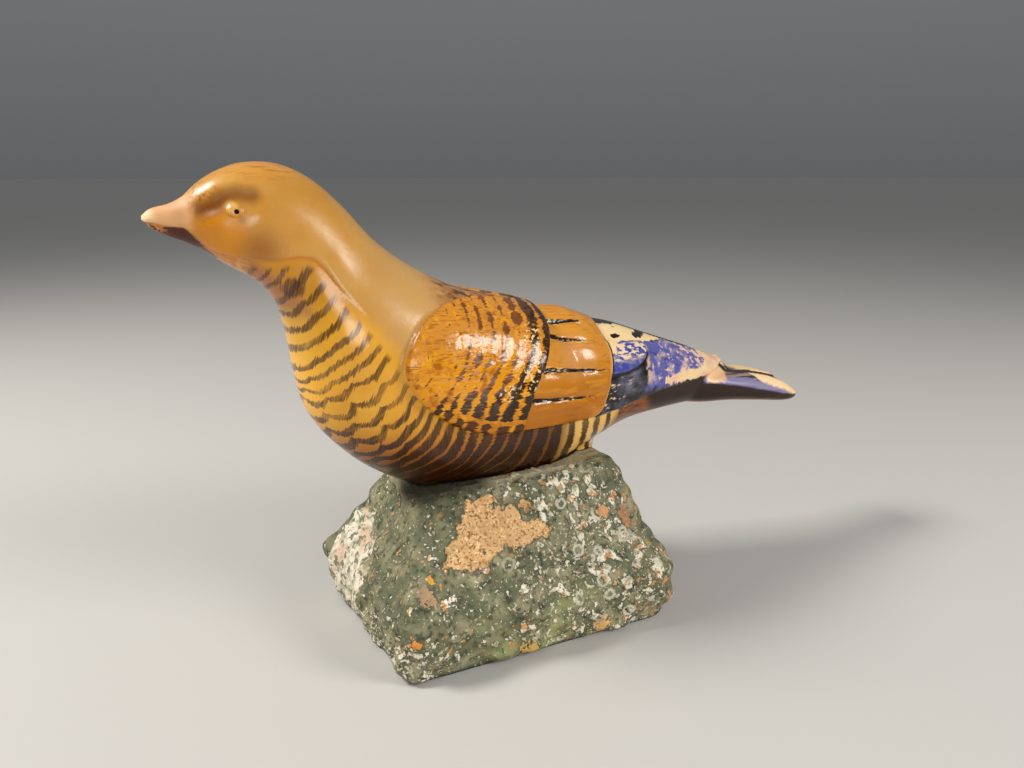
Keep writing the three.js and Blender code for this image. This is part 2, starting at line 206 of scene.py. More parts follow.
# Patches of the rock's front, [x, z], and of its left side, [y, z], in hundredths as the bird's.
BARE_PATCH = [
    [-8.5, 21.5], [-7.0, 21.0], [0.0, 18.5], [-0.5, 17.5], [3.5, 15.5], [-5.0, 14.0], [-10.0, 12.5],
    [-11.5, 13.0], [-15.0, 13.0], [-14.5, 14.5], [-11.0, 17.0], [-9.5, 19.5],
]
SCALY_PATCH = [
    [4.0, 15.5], [1.0, 12.0], [-2.5, 8.5], [-4.0, 4.0], [1.0, 1.5], [7.0, 2.5], [10.0, 7.0], [9.0, 13.5],
]
# Chips of the front that show another colour: place, reach in mm and colour.
CHIPS = [
    [(17, 4.5), 2.4, (232, 184, 116)], [(-5, 2.6), 2.8, (204, 168, 92)], [(-37, 13), 1.2, (226, 146, 64)],
    [(-32, 22), 2.2, (172, 142, 108)], [(30, 31), 2.4, (198, 138, 90)], [(39, 29), 1.8, (190, 128, 82)],
    [(22, 33), 1.8, (214, 158, 104)], [(-30, 25), 0.9, (232, 166, 58)],
]
# Single stones and hollows of the front: place, reach and relief in mm.
STONES = [
    [(17, 4), 2.4, 0.9], [(-5, 2.5), 2.8, 0.8], [(-37, 13), 1.3, 0.6], [(-33, 20), 2.5, -1.2],
    [(7, 15), 3.2, 0.7], [(14, 19), 3.0, 0.6], [(30, 31), 2.2, 0.6], [(39, 20), 2.4, 0.5],
    [(-17, 28), 2.6, 0.5], [(-8, 28), 2.2, 0.5], [(24, 24), 3.4, -0.8], [(-20, 10), 4.0, -0.7],
]

# Outlines in side view, in the order of the part's own.
WING_FRONT = [
    [8.0, 28.5], [5.0, 25.6], [1.0, 26.0], [-3.0, 26.8], [-6.5, 27.2], [-10.2, 27.0], [-13.3, 25.6],
    [-15.4, 23.2], [-16.4, 20.6], [-16.1, 18.4], [-14.9, 16.3], [-12.8, 14.1], [-9.8, 12.0], [-5.6, 10.5],
    [-1.0, 10.1], [3.5, 9.9], [8.5, 9.9],
]
COVERT_FRONT = WING_FRONT[2:14]     # the short feathers share this stretch of it
WING_END = [
    [12.3, 10.2], [13.7, 12.8], [14.6, 15.6], [15.0, 18.0], [14.7, 20.0], [14.5, 21.5], [15.4, 29.0],
]
COVERT_END = [
    [-1.2, 9.4], [-0.4, 12.4], [0.7, 15.6], [2.4, 17.9], [4.0, 20.6], [4.9, 22.6], [4.4, 24.9],
]
QUILL_EDGE = [
    [12.0, 9.6], [17.0, 10.1], [21.1, 11.0], [25.4, 11.7], [30.0, 12.0], [34.5, 12.4],
    [37.8, 13.0], [40.2, 13.8], [40.2, 17.0], [12.0, 27.0],
]
QUILL_COVERT = [
    [14.0, 15.6], [17.2, 15.5], [20.0, 16.0], [21.9, 17.0], [22.2, 18.0], [21.4, 18.8], [18.0, 19.2],
    [14.0, 19.4],
]
# Grooves between the long feathers, each from its open end to its point.
FEATHER_PARTINGS = [
    [[4.9, 23.1], [10.8, 21.9]],
    [[4.2, 21.4], [10.6, 20.0]],
    [[2.1, 17.6], [14.0, 16.2]],
    [[0.1, 14.2], [12.2, 13.0]],
]
SWELL_WIDTH = 5.5
SWELL_END = 15.2
# The lip of the plain head and neck, from the beak to the shoulder.
LIP = [
    [-42.6, 37.9], [-40.5, 37.4], [-39.3, 37.3], [-38.2, 36.5], [-36.2, 34.7], [-33.8, 33.9],
    [-30.4, 33.5], [-26.9, 33.9], [-24.9, 33.0], [-22.9, 30.0], [-20.4, 26.9], [-17.6, 22.9],
    [-15.2, 19.0],
]
MANTLE_BACK = [[-9.8, 26.7], [-3.0, 31.0], [-8.0, 50.0], [-48.0, 50.0], [-48.0, 38.2]]
BROW = [[-37.2, 39.2], [-35.8, 39.7], [-34.8, 40.6], [-33.4, 41.0], [-31.8, 40.7]]
EYE = {"x": -33.8, "z": 39.2, "socket_length": 3.0, "socket_height": 2.1}
# Soft swellings and dents of the face: [x, z, radius in mm, height in mm].
FACE_FORMS = [
    [-31.2, 38.8, 2.2, 0.25],
    [-35.2, 37.5, 3.4, 0.35],
    [-36.6, 40.0, 2.2, -0.25],
    [-39.9, 38.9, 1.6, -0.25],
    [-31.9, 35.3, 5.0, -0.25],
]
# Painted feather rows: [row number, centre line of its dark band from its lower end to its upper one].
FEATHER_ROWS = [
    (-3, [[-32.3, 31.9], [-31.5, 33.8]]),
    (-1, [[-30.4, 30.3], [-29.5, 31.1], [-28.6, 32.9]]),
    (0, [[-28.4, 29.4], [-26.5, 32.1]]),
    (1, [[-28.9, 26.8], [-28.0, 26.8], [-27.4, 27.9], [-26.2, 28.8], [-24.2, 31.0]]),
    (4, [[-27.7, 19.7], [-26.9, 20.4], [-25.7, 21.5], [-23.8, 23.3], [-21.9, 24.7], [-20.9, 26.8]]),
    (7, [[-27.3, 15.7], [-25.6, 16.0], [-24.2, 17.0], [-22.3, 18.4], [-20.3, 19.5], [-18.2, 21.8]]),
    (9, [[-24.8, 11.2], [-23.0, 12.2], [-21.3, 12.9], [-19.8, 14.2], [-18.4, 15.3], [-16.7, 17.4]]),
    (11, [[-21.3, 7.6], [-20.2, 8.4], [-18.0, 9.5], [-16.8, 10.9], [-15.0, 12.9], [-14.0, 15.2]]),
    (13, [[-19.2, 5.8], [-17.1, 6.5], [-15.1, 8.0], [-13.0, 10.4], [-11.9, 13.1]]),
    (16, [[-12.6, 4.0], [-10.7, 5.0], [-8.7, 6.4], [-7.6, 8.8], [-7.2, 11.1]]),
    (20, [[-3.6, 3.6], [-0.8, 5.3], [0.5, 8.3], [0.8, 9.5]]),
    (24, [[12.0, 0.0], [11.2, 4.0], [10.6, 8.3]]),
]
LAST_ROW_SPACING = 2.3
SCALLOP_WIDTH = 11.0
# How far the scallops and the brush strokes run for a millimetre along, across and up.
SCALLOP_LEAN = (0.6, 0.8, 0.8)
STROKE_LEAN = (0.9, 0.5, -0.35)
STROKE_TURN = (-8, -16)     # along the bird, where the strokes turn from upright to leaning
# Bars across the short wing feathers: the centre line of the last one, and how they close up forwards.
LAST_BAR = [
    [-1.4, 9.0], [-1.3, 11.4], [-0.6, 13.5], [0.4, 16.2], [1.8, 18.0], [3.1, 19.7], [3.8, 21.4],
    [4.3, 23.1], [4.5, 25.5],
]
BAR_SPACING = 2.65
BAR_CLOSING = 0.19
# Worn and painted places of the flight feathers and the tail.
CREAM_PATCH = [
    [14.1, 21.7], [17.0, 21.4], [20.7, 20.9], [25.3, 19.6], [27.4, 18.7], [26.4, 18.1], [21.7, 18.8],
    [18.0, 19.3], [16.6, 19.2], [15.8, 17.8], [15.1, 18.4], [14.6, 20.2],
]
BLUE_FIELD = [
    [22.1, 18.9], [28.5, 18.0], [32.2, 17.0], [36.0, 15.4], [38.0, 14.2], [37.1, 13.5], [33.3, 13.0],
    [29.4, 12.4], [24.9, 12.1], [21.7, 12.2], [22.2, 16.0],
]
WORN_TIP = [
    [31.5, 17.6], [34.5, 16.3], [37.4, 15.0], [40.4, 14.2], [40.0, 12.6], [35.5, 12.2], [29.4, 12.2],
    [25.7, 12.6], [25.6, 13.4], [29.6, 13.9], [32.5, 13.6], [34.6, 14.4], [33.6, 15.8],
]
TAIL_WEAR = [
    [34.8, 11.2], [35.8, 13.4], [38.0, 13.4], [40.3, 12.3], [39.2, 11.3], [37.2, 10.9], [36.2, 10.6],
]
BEAK_UNDER = [
    [-42.6, 37.7], [-41.7, 37.5], [-40.5, 37.4], [-39.2, 37.3], [-38.3, 36.4], [-37.2, 35.0],
    [-35.8, 33.6], [-38.0, 30.0], [-44.0, 34.0],
]
TAIL_TIP_WEAR = [
    [45.0, 11.3], [48.0, 11.2], [56.5, 7.4], [56.5, 6.0], [53.6, 6.9], [50.0, 8.6], [46.5, 9.8],
]
PAINTED_OUTLINES = {
    "cream_patch": CREAM_PATCH, "blue_field": BLUE_FIELD, "beak_under": BEAK_UNDER,
    "tail_wear": TAIL_TIP_WEAR,
}

# The middle tail feather lies over the others: places along, half width and height in mm.
MIDDLE_FEATHER = {"start": 30.0, "end": 51.0, "half_width": 3.8, "relief": 0.9}

# The studio: camera in mm, its heading as a level unit vector, and its tilt and lens.
CAMERA_PLACE = (-85.9, -196.1, 125.0)
CAMERA_HEADING = (0.4226, 0.9063)
CAMERA_DOWN = math.radians(15.2)
CAMERA_LENS = 27.04
CAMERA_SENSOR = 36
FLOOR_LENGTH = 60           # metres, so that its far edge is at the horizon
FLOOR_COLOUR = (196, 194, 190)
FLOOR_ROUGHNESS = 0.85
HORIZON_LIGHT = 0.125       # about the far floor's own brightness, so that no hard line shows
SKY_LIGHT = 0.24
SKY_HEIGHT = 0.5            # upward share of a direction from which the light is the full one
SKY_COLOUR = (0.95, 0.97, 1, 1)
LIGHT_AIM = (0, 0, 60)
# Soft lights: name, place and size in mm, watts and colour.
LIGHTS = [
    ("window", (-520, 170, 600), (200, 200), 5.6, (1, 0.96, 0.9)),
    ("softbox", (480, -520, 420), (300, 230), 3.8, (1, 0.97, 0.93)),
    ("fill", (-300, -620, 200), (260, 160), 1.3, (1, 0.97, 0.94)),
]


# Shapes

def ramp(value, start, end):
    """0 before start, 1 after end, smooth between them."""
    t = np.clip((value - start) / (end - start), 0, 1)
    return t * t * (3 - 2 * t)


def bell(distance, radius):
    """1 at no distance, and next to nothing beyond twice the radius."""
    return np.exp(-(distance / radius) ** 2)


def unit(vector):
    return vector / np.linalg.norm(vector)


def power(value, squareness):
    return np.sign(value) * np.abs(value) ** (2 / squareness)


def blend_stations(stations, places):
    """Values between stations, on a smooth curve through them, one column per value."""
    rows = np.array(stations, float)
    rows = np.vstack([2 * rows[0] - rows[1], rows, 2 * rows[-1] - rows[-2]])
    index = np.minimum(places.astype(int), len(stations) - 2)
    t = (places - index)[:, None]
    before, here, after, beyond = (rows[index + step] for step in range(4))
    bend = 2 * before - 5 * here + 4 * after - beyond
    twist = 3 * here - before - 3 * after + beyond
    values = 0.5 * (2 * here + (after - before) * t + bend * t**2 + twist * t**3)
    return [column[:, None] for column in values.T]


def places_and_angles(stations, rings_each, sides):
    places = np.linspace(0, len(stations) - 1, (len(stations) - 1) * rings_each + 1)
    angles = np.linspace(0, 2 * np.pi, sides, endpoint=False)[None, :]
    return places, angles


def loft(rings):
    """A closed skin over an array of rings of points, with a fan over each end."""
    count, sides, _ = rings.shape
    points = np.vstack([rings.reshape(-1, 3), rings[0].mean(0), rings[-1].mean(0)])
    r, i = np.meshgrid(np.arange(count - 1), np.arange(sides), indexing="ij")
    near, far = r * sides + i, r * sides + (i + 1) % sides
    faces = np.stack([near, near + sides, far + sides, far], -1).reshape(-1, 4).tolist()
    first, last = count * sides, count * sides + 1
    end_ring = (count - 1) * sides
    for side in range(sides):
        beside = (side + 1) % sides
        faces.append([first, side, beside])
        faces.append([last, end_ring + beside, end_ring + side])
    return points, faces


def bird_point(x, y, z):
    """Hundredths of the bird's length along and up, and millimetres across, to millimetres."""
    return np.stack(np.broadcast_arrays(x * SHARE, y, z * SHARE + BELLY), -1)


def body_skin(rings_each=6, sides=120):
    head = [[*s[:4], s[4] * HEAD_WIDTH / 2, s[5]] for s in HEAD_STATIONS]
    body = [[*s[:4], s[4] * BODY_WIDTH / 2, s[5]] for s in BODY_STATIONS]
    stations = head + body
    places, angle = places_and_angles(stations, rings_each, sides)
    up_x, up_z, low_x, low_z, half, squareness = blend_stations(stations, places)
    rise = 0.5 + 0.5 * power(np.cos(angle), squareness)
    out = half * power(np.sin(angle), squareness)
    return loft(bird_point(low_x + (up_x - low_x) * rise, out, low_z + (up_z - low_z) * rise))


def tail_skin(rings_each=8, sides=80):
    places, angle = places_and_angles(TAIL_STATIONS, rings_each, sides)
    x, width, ridge, edge, under = blend_stations(TAIL_STATIONS, places)
    level = np.where(np.cos(angle) > 0, ridge, under)
    z = edge + (level - edge) * np.abs(np.cos(angle))
    return loft(bird_point(x, power(np.sin(angle), TAIL_SQUARENESS) * width * TAIL_WIDTH / 2, z))


def leg_skin(rings_each=6, sides=60):
    places, angle = places_and_angles(LEG_STATIONS, rings_each, sides)
    z, middle, half_length, half_width = blend_stations(LEG_STATIONS, places)
    out = -half_width * np.sin(angle) * SHARE
    return loft(bird_point(middle + half_length * np.cos(angle), out, z))


def segment_distances(points, x, z, closed):
    """Distance in millimetres from side-view places to the nearest stretch of a line."""
    nearest = np.full(x.shape, np.inf)
    ends = points[1:] + points[:1] if closed else points[1:]
    for (x0, z0), (x1, z1) in zip(points, ends):
        along_x, along_z = x1 - x0, z1 - z0
        t = ((x - x0) * along_x + (z - z0) * along_z) / (along_x**2 + along_z**2)
        t = np.clip(t, 0, 1)
        nearest = np.minimum(nearest, np.hypot(x - x0 - t * along_x, z - z0 - t * along_z))
    return nearest * SHARE


def is_inside(points, x, z):
    inside = np.zeros(x.shape, bool)
    for (x0, z0), (x1, z1) in zip(points, points[1:] + points[:1]):
        if z0 == z1:
            continue
        crosses = (z0 > z) != (z1 > z)
        inside ^= crosses & (x < x0 + (z - z0) * (x1 - x0) / (z1 - z0))
    return inside


def inside_distance(points, x, z):
    """Distance in millimetres to an outline, above zero inside it and below zero outside."""
    distance = segment_distances(points, x, z, closed=True)
    return np.where(is_inside(points, x, z), distance, -distance)


def rounded(points, closed=True):
    """A smooth line through an outline's points, four for each stretch."""
    looped = points + points[:1] if closed else points
    count = (len(looped) - 1) * 4
    x, z = blend_stations(looped, np.linspace(0, len(looped) - 1, count + 1))
    line = np.hstack([x, z]).tolist()
    return line[:-1] if closed else line


# Meshes

def new_object(name, mesh):
    obj = bpy.data.objects.new(name, mesh)
    bpy.context.scene.collection.objects.link(obj)
    return obj


def mesh_of(name, shells):
    """One mesh of several skins, each a list of points in millimetres and its faces."""
    points, faces = [], []
    for skin_points, skin_faces in shells:
        start = len(points)
        points += (skin_points * MM).tolist()
        faces += [[start + corner for corner in face] for face in skin_faces]
    mesh = bpy.data.meshes.new(name)
    mesh.from_pydata(points, [], faces)
    return mesh


def apply_modifiers(obj):
    shown = obj.evaluated_get(bpy.context.evaluated_depsgraph_get())
    mesh = bpy.data.meshes.new_from_object(shown)
    obj.modifiers.clear()
    obj.data = mesh


def fuse(obj, voxel, passes):
    """Joins an object's overlapping skins into one, of small even faces."""
    remesh = obj.modifiers.new("One skin", "REMESH")
    remesh.mode = "VOXEL"
    remesh.voxel_size = voxel * MM
    relax = obj.modifiers.new("Relaxed", "SMOOTH")
    relax.iterations = passes
    apply_modifiers(obj)


def read_points(mesh):
    points = np.zeros(len(mesh.vertices) * 3)
    mesh.vertices.foreach_get("co", points)
    return points.reshape(-1, 3) / MM


def read_normals(mesh):
    normals = np.zeros(len(mesh.vertices) * 3)
    mesh.vertex_normals.foreach_get("vector", normals)
    return normals.reshape(-1, 3)


def write_points(mesh, points):
    mesh.vertices.foreach_set("co", (points * MM).ravel())
    mesh.update()


def store(mesh, name, values):
    """Keeps one number for each point of the mesh, for the materials."""
    attribute = mesh.attributes.new(name, "FLOAT", "POINT")
    attribute.data.foreach_set("value", values.astype(np.float32))


def fractal(points, size, octaves, seed):
    """Soft noise between about -1 and 1, with lumps of the given size in millimetres."""
    shift = Vector((seed, seed * 0.7, -seed))
    places = (Vector(p) / size + shift for p in points)
    return np.array([noise.fractal(p, 1.0, 2.0, octaves) for p in places])


def layered(points, layers):
    """A sum of noises, each a row of lump size, octaves, seed and weight."""
    return sum(fractal(points, size, octaves, seed) * weight for size, octaves, seed, weight in layers)


# The bird

def wing_height(x, z, wing):
    """The folded wing over the body: a step at its edge, then a swell towards its middle."""
    swell_line = WING_FRONT[1:] + WING_END[:1]
    inside = np.minimum(segment_distances(swell_line, x, z, closed=True) / SHARE / SWELL_WIDTH, 1)
    fade = np.clip((SWELL_END - x) / SWELL_WIDTH, 0, 1)
    swell = WING_SWELL * np.sin(inside * np.pi / 2) * fade
    return (WING_RELIEF + swell) * ramp(wing, -STEP / 2, STEP / 2)


def parting_distance(x, z):
    """How far a place is inside the nearest tapered groove, in millimetres."""
    deepest = np.full(x.shape, -np.inf)
    for (open_x, open_z), (tip_x, tip_z) in FEATHER_PARTINGS:
        t = np.clip((x - open_x) / (tip_x - open_x), 0, 1)
        off = np.abs(z - open_z - t * (tip_z - open_z)) * SHARE
        beyond = np.maximum(open_x - x, x - tip_x) * SHARE
        deepest = np.maximum(deepest, np.minimum(PARTING_WIDTH * (1 - t) / 2 - off, -beyond))
    return deepest


def eye_height(x, z):
    """A round bead standing in a shallow hollow, with a drilled pupil."""
    across, up = (x - EYE["x"]) * SHARE, (z - EYE["z"]) * SHARE
    reach = np.hypot(across / (EYE["socket_length"] * SHARE), up / (EYE["socket_height"] * SHARE))
    hollow = -HOLLOW_DEPTH * (1 - ramp(reach, *HOLLOW_SLOPE))
    off = np.hypot(across, up) / BEAD_RADIUS
    bead = BEAD_RISE * (np.sqrt(np.maximum(1 - off**2, 0)) - 1) + BEAD_PROUD
    pupil_off = np.hypot(across - PUPIL_SHIFT, up + PUPIL_SHIFT) / PUPIL_DIAMETER
    pupil = PUPIL_DEPTH * (1 - ramp(pupil_off, *PUPIL_WALL))
    return np.maximum(hollow, bead) - pupil


def refine_near_eyes(obj):
    """Smaller faces round both eyes, where the bead and its pupil need them."""
    mesh = obj.data
    points = read_points(mesh)
    x, z = points[:, 0] / SHARE, (points[:, 2] - BELLY) / SHARE
    near = np.hypot(x - EYE["x"], z - EYE["z"]) * SHARE < EYE_REACH * BEAD_RADIUS
    near &= np.abs(points[:, 1]) > HEAD_WIDTH / 4
    work = bmesh.new()
    work.from_mesh(mesh)
    edges = [edge for edge in work.edges if near[edge.verts[0].index] and near[edge.verts[1].index]]
    bmesh.ops.subdivide_edges(work, edges=edges, cuts=2, use_grid_fill=True)
    work.to_mesh(mesh)
    work.free()


def past_line(line, x, z):
    """Distance in millimetres past a line drawn on towards both sides, on its tail side."""
    points = np.array(line)
    low = points[0] + unit(points[0] - points[1]) * FAR
    high = points[-1] + unit(points[-1] - points[-2]) * FAR
    long_line = [low.tolist(), *line, high.tolist()]
    around = [[FAR, high[1]], [FAR, -FAR], [-FAR, -FAR]]
    distance = segment_distances(long_line, x, z, closed=False)
    return np.where(is_inside(long_line + around, x, z), distance, -distance)


def feather_row(x, z):
    """The number of the painted row at a place: whole on the centre line of a dark band."""
    lines = [(number, rounded(line, closed=False)) for number, line in FEATHER_ROWS]
    before = past_line(lines[0][1], x, z)
    row = lines[0][0] + np.minimum(before, 0) / (LAST_ROW_SPACING * SHARE)
    for (number, _), (next_number, next_line) in zip(lines, lines[1:]):
        after = past_line(next_line, x, z)
        share = np.clip(before / np.maximum(before - after, 0.01), 0, 1)
        row = np.where(before > 0, number + share * (next_number - number), row)
        before = after
    last = lines[-1][0] + before / (LAST_ROW_SPACING * SHARE)
    return np.where(before > 0, last, row)


def covert_bar(x, z):
    """The number of the bar across the short wing feathers, counted forwards from the last."""
    line = np.array(LAST_BAR)
    offset = np.interp(z, line[:, 1], line[:, 0]) - x
    root = np.sqrt(np.maximum(BAR_SPACING**2 - 2 * BAR_CLOSING * offset, 0))
    return (BAR_SPACING - root) / BAR_CLOSING


def store_layout(mesh, x, y, z, fields):
    """Keeps every field that the bird's paint is laid out from."""
    fields["row"] = feather_row(x, z)
    place = np.stack([SHARE * x, y, SHARE * z], -1)
    fields["row_across"] = place @ SCALLOP_LEAN
    breast = ramp(x, *STROKE_TURN)
    fields["stroke"] = place @ STROKE_LEAN * breast + SHARE * z * (1 - breast)
    fields["bar"] = covert_bar(x, z)
    fields["brow"] = segment_distances(BROW, x, z, closed=False)
    for name, outline in PAINTED_OUTLINES.items():
        fields[name] = inside_distance(outline, x, z)
    fields["worn_tip"] = np.maximum(inside_distance(WORN_TIP, x, z), inside_distance(TAIL_WEAR, x, z))
    tail_x, tail_width = np.array(TAIL_STATIONS)[:, :2].T
    fields["near_edge"] = np.interp(x, tail_x, tail_width * TAIL_WIDTH / 2) - y
    fields["ridge"] = y
    for name, values in fields.items():
        store(mesh, name, values)


def carve_bird(obj):
    """Moves the bird's skin in and out along its normals, and keeps the layout for its material."""
    mesh = obj.data
    points, normals = read_points(mesh), read_normals(mesh)
    x, z = points[:, 0] / SHARE, (points[:, 2] - BELLY) / SHARE
    y = np.abs(points[:, 1])
    wing = inside_distance(rounded(WING_FRONT + WING_END), x, z)
    covert = inside_distance(rounded(COVERT_FRONT + COVERT_END), x, z)
    quill = inside_distance(QUILL_EDGE, x, z)
    finger = inside_distance(rounded(QUILL_COVERT), x, z)
    parting = parting_distance(x, z)
    lip = rounded(LIP, closed=False)
    lip_side = np.where(is_inside(lip + MANTLE_BACK, x, z), 1, -1)
    hood = lip_side * segment_distances(lip, x, z, closed=False)

    half_step = STEP / 2
    on_wing = wing_height(x, z, wing)
    columns = -np.cos(2 * np.pi * covert_bar(x, z)) * ramp(covert, *COLUMN_EDGE) * ramp(x, *COLUMN_START)
    on_covert = on_wing + COVERT_STEP * ramp(covert, -half_step, half_step) + COLUMN_RELIEF * columns
    on_quill = QUILL_RELIEF * ramp(quill, -half_step, half_step)
    on_quill = on_quill + COVERT_STEP * ramp(finger, -half_step, half_step)
    feathers = np.where(wing > -half_step, np.maximum(on_covert, on_quill), on_quill)
    long_feathers = ramp(wing, 0, STEP) * (1 - ramp(covert, -STEP, 0))
    feathers -= FEATHER_CROWN * bell(np.minimum(parting, 0), STEP * 1.5) * long_feathers
    feathers -= PARTING_DEPTH * ramp(parting, -half_step / 2, half_step / 2) * long_feathers
    seam = bell(y, SEAM_WIDTH) * ramp(np.maximum(wing, quill), -half_step, half_step) * (z > SEAM_LOWEST)
    feathers -= SEAM_DEPTH * seam

    lip = LIP_RELIEF * ramp(hood, -half_step / 2, half_step) * (1 - ramp(hood, LIP_CREST, LIP_REACH))
    lip *= 1 - ramp(x, *LIP_END)
    face = eye_height(x, z) - BROW_DEPTH * bell(segment_distances(BROW, x, z, closed=False), BROW_WIDTH)
    for form_x, form_z, radius, height in FACE_FORMS:
        face += height * bell(np.hypot(x - form_x, z - form_z) * SHARE, radius)
    face *= ramp(y / HEAD_WIDTH, *FACE_SIDES) * (x < BODY_STATIONS[0][0])

    middle = MIDDLE_FEATHER
    over = np.minimum(middle["half_width"] - y, (middle["end"] - x) * SHARE)
    over = np.minimum(over, (x - middle["start"]) * SHARE)
    on_tail = middle["relief"] * ramp(over, -half_step, half_step) * ramp(normals[:, 2], *TOP_FACING)

    height = feathers + lip * (wing < half_step) + face + on_tail * (quill < half_step)
    write_points(mesh, points + normals * height[:, None])
    store_layout(mesh, x, y, z, {
        "wing": wing, "covert": covert, "quill": quill, "finger": finger,
        "parting": parting, "hood": hood, "middle_feather": over, "top": normals[:, 2],
    })


def make_bird():
    obj = new_object("bird_carving", mesh_of("bird_carving", [body_skin(), tail_skin(), leg_skin()]))
    fuse(obj, BIRD_VOXEL * FINE, passes=6)
    refine_near_eyes(obj)
    carve_bird(obj)
    obj.data.polygons.foreach_set("use_smooth", [True] * len(obj.data.polygons))
    return obj


# The rock

def lumps(points):
    """The part's own broad lumps, between -1 and 1."""
    total = 0
    for weight, *waves in ROCK_LUMPS:
        total = total + weight * np.prod([np.sin(points @ wave[:3] + wave[3]) for wave in waves], axis=0)
    return total


def rock_ring(level, corner_steps, side_steps):
    """One level of the rock: a four-cornered ring, each corner a rounded arc."""
    height, inset, way, rounding = level
    corners, arcs = [], []
    for corner in ROCK_CORNERS:
        foot = np.array(corner["foot"]) * (BASE_LENGTH, BASE_DEPTH) / 2
        rim = np.array(corner["rim"]) * (BASE_RIM_LENGTH, BASE_RIM_DEPTH) / 2
        corners.append(np.append(foot + (rim - foot) * way, height * corner["rise"] * BASE_HEIGHT))
    for k, corner in enumerate(corners):
        to_before = unit(corners[k - 1] - corner)
        to_next = unit(corners[(k + 1) % 4] - corner)
        tip = corner + (to_before + to_next) * inset
        t = np.linspace(0, 1, corner_steps + 1)[:, None]
        arcs.append(tip + ((1 - t) ** 2 * to_before + t**2 * to_next) * rounding)
    t = np.linspace(0, 1, side_steps + 1)[1:-1, None]
    sides = [arc[-1] + (arcs[(k + 1) % 4][0] - arc[-1]) * t for k, arc in enumerate(arcs)]
    return np.vstack([part for pair in zip(arcs, sides) for part in pair])


def rock_skin():
    """The rock's sides from foot to rim, then its top in shrinking rings."""
    grid = ROCK_GRID * FINE
    corner_steps = int(CORNER_ROUNDING * ROCK_ARC / grid)
    side_steps = int((BASE_LENGTH + BASE_DEPTH) * ROCK_SIDE / grid)
    rings_each = int(BASE_HEIGHT * ROCK_SLOPE / grid / (len(ROCK_LEVELS) - 1))
    places = np.linspace(0, len(ROCK_LEVELS) - 1, (len(ROCK_LEVELS) - 1) * rings_each + 1)
    levels = np.hstack(blend_stations(ROCK_LEVELS, places))
    fade = ramp(places, 0, 1) * (1 - ramp(places, places[-1] - 1, places[-1]))
    rings = []
    for level, amount in zip(levels, fade):
        ring = rock_ring(level, corner_steps, side_steps)
        bump = 1 + ROCK_BUMP * lumps(ring) / (BASE_DEPTH / 2) * amount
        rings.append(ring * np.column_stack([bump, bump, np.ones(len(ring))]))
    rim, middle = rings[-1], rings[-1].mean(0)
    top_steps = int(BASE_RIM_DEPTH / 2 / grid)
    rings += [middle + (rim - middle) * (1 - step / top_steps) for step in range(1, top_steps)]
    return loft(np.array(rings))


def front_share(points):
    """1 on the rough front face, 0 on the others."""
    x, y = points[:, 0] / BASE_LENGTH, points[:, 1] / BASE_DEPTH
    return ramp(-y - np.abs(x), -0.08, 0.1)


def crust(points):
    """Flakes of pale crust, above zero where one lies: many on the front, few on the left."""
    right = ramp(points[:, 0], -25, 25)
    plain = 1 - front_share(points)
    level = CRUST_LEVEL - CRUST_RIGHT * right * (1 - plain) + CRUST_PLAIN * plain
    foot = CRUST_FOOT * ramp(points[:, 2], 16, 4) * ramp(-points[:, 0], 10, 30)
    return layered(points, CRUST_NOISE) - level + foot


def bare_patch(points):
    """Millimetres inside the patch of the front face that has lost its colour."""
    inside = inside_distance(BARE_PATCH, points[:, 0] / SHARE, points[:, 2] / SHARE)
    return inside + layered(points, BARE_EDGE_NOISE) - OFF_PATCH * (1 - front_share(points))


def scaly_patch(points):
    """Millimetres inside the pale scaly patch on the left face."""
    inside = inside_distance(SCALY_PATCH, points[:, 1] / SHARE, points[:, 2] / SHARE)
    return inside + layered(points, SCALY_EDGE_NOISE) - OFF_PATCH * ramp(points[:, 0], -28, -20)


def carve_rock(mesh):
    """Rough stone, flakes of crust and the shallow bare patch, all fading out at the foot."""
    points, normals = read_points(mesh), read_normals(mesh)
    front = front_share(points)
    pits = -PIT_DEPTH * ramp(layered(points, PIT_NOISE), *PIT_EDGE)
    height = (layered(points, ROUGH_NOISE) + pits) * (SIDE_ROUGHNESS + FRONT_ROUGHNESS * front)
    height += CRUST_RELIEF * ramp(crust(points), 0, 0.12)
    height -= BARE_RELIEF * ramp(bare_patch(points), -0.5, 0.8)
    height += SCALE_RELIEF * ramp(scaly_patch(points), -0.3, 0.6)
    for (x, z), reach, relief in STONES:
        height += relief * bell(np.hypot(points[:, 0] - x, points[:, 2] - z), reach) * front
    height *= ramp(points[:, 2], *FOOT_FADE)
    write_points(mesh, points + normals * height[:, None])


def make_rock():
    obj = new_object("rock", mesh_of("rock", [rock_skin()]))
    carve_rock(obj.data)
    seat = new_object("seat", mesh_of("seat", [body_skin(3, 60), leg_skin(3, 40)]))
    fuse(seat, SEAT_VOXEL, passes=2)
    points, normals = read_points(seat.data), read_normals(seat.data)
    write_points(seat.data, points + normals * SEAT_CLEARANCE)
    cut = obj.modifiers.new("Seat", "BOOLEAN")
    cut.operation = "DIFFERENCE"
    cut.solver = "MANIFOLD"
    cut.object = seat
    apply_modifiers(obj)
    mesh = obj.data
    bird_tree = BVHTree.FromObject(seat, bpy.context.evaluated_depsgraph_get())
    to_bird = [bird_tree.find_nearest(vertex.co)[3] / MM for vertex in mesh.vertices]
    bpy.data.objects.remove(seat)
    mesh.materials.clear()
    points = read_points(mesh)
    store(mesh, "crust", crust(points))
    store(mesh, "bare", bare_patch(points))
    store(mesh, "scaly", scaly_patch(points))
    store(mesh, "front", front_share(points))
    store(mesh, "to_bird", np.array(to_bird))
    mesh.polygons.foreach_set("use_smooth", [True] * len(mesh.polygons))
    return obj


# Materials

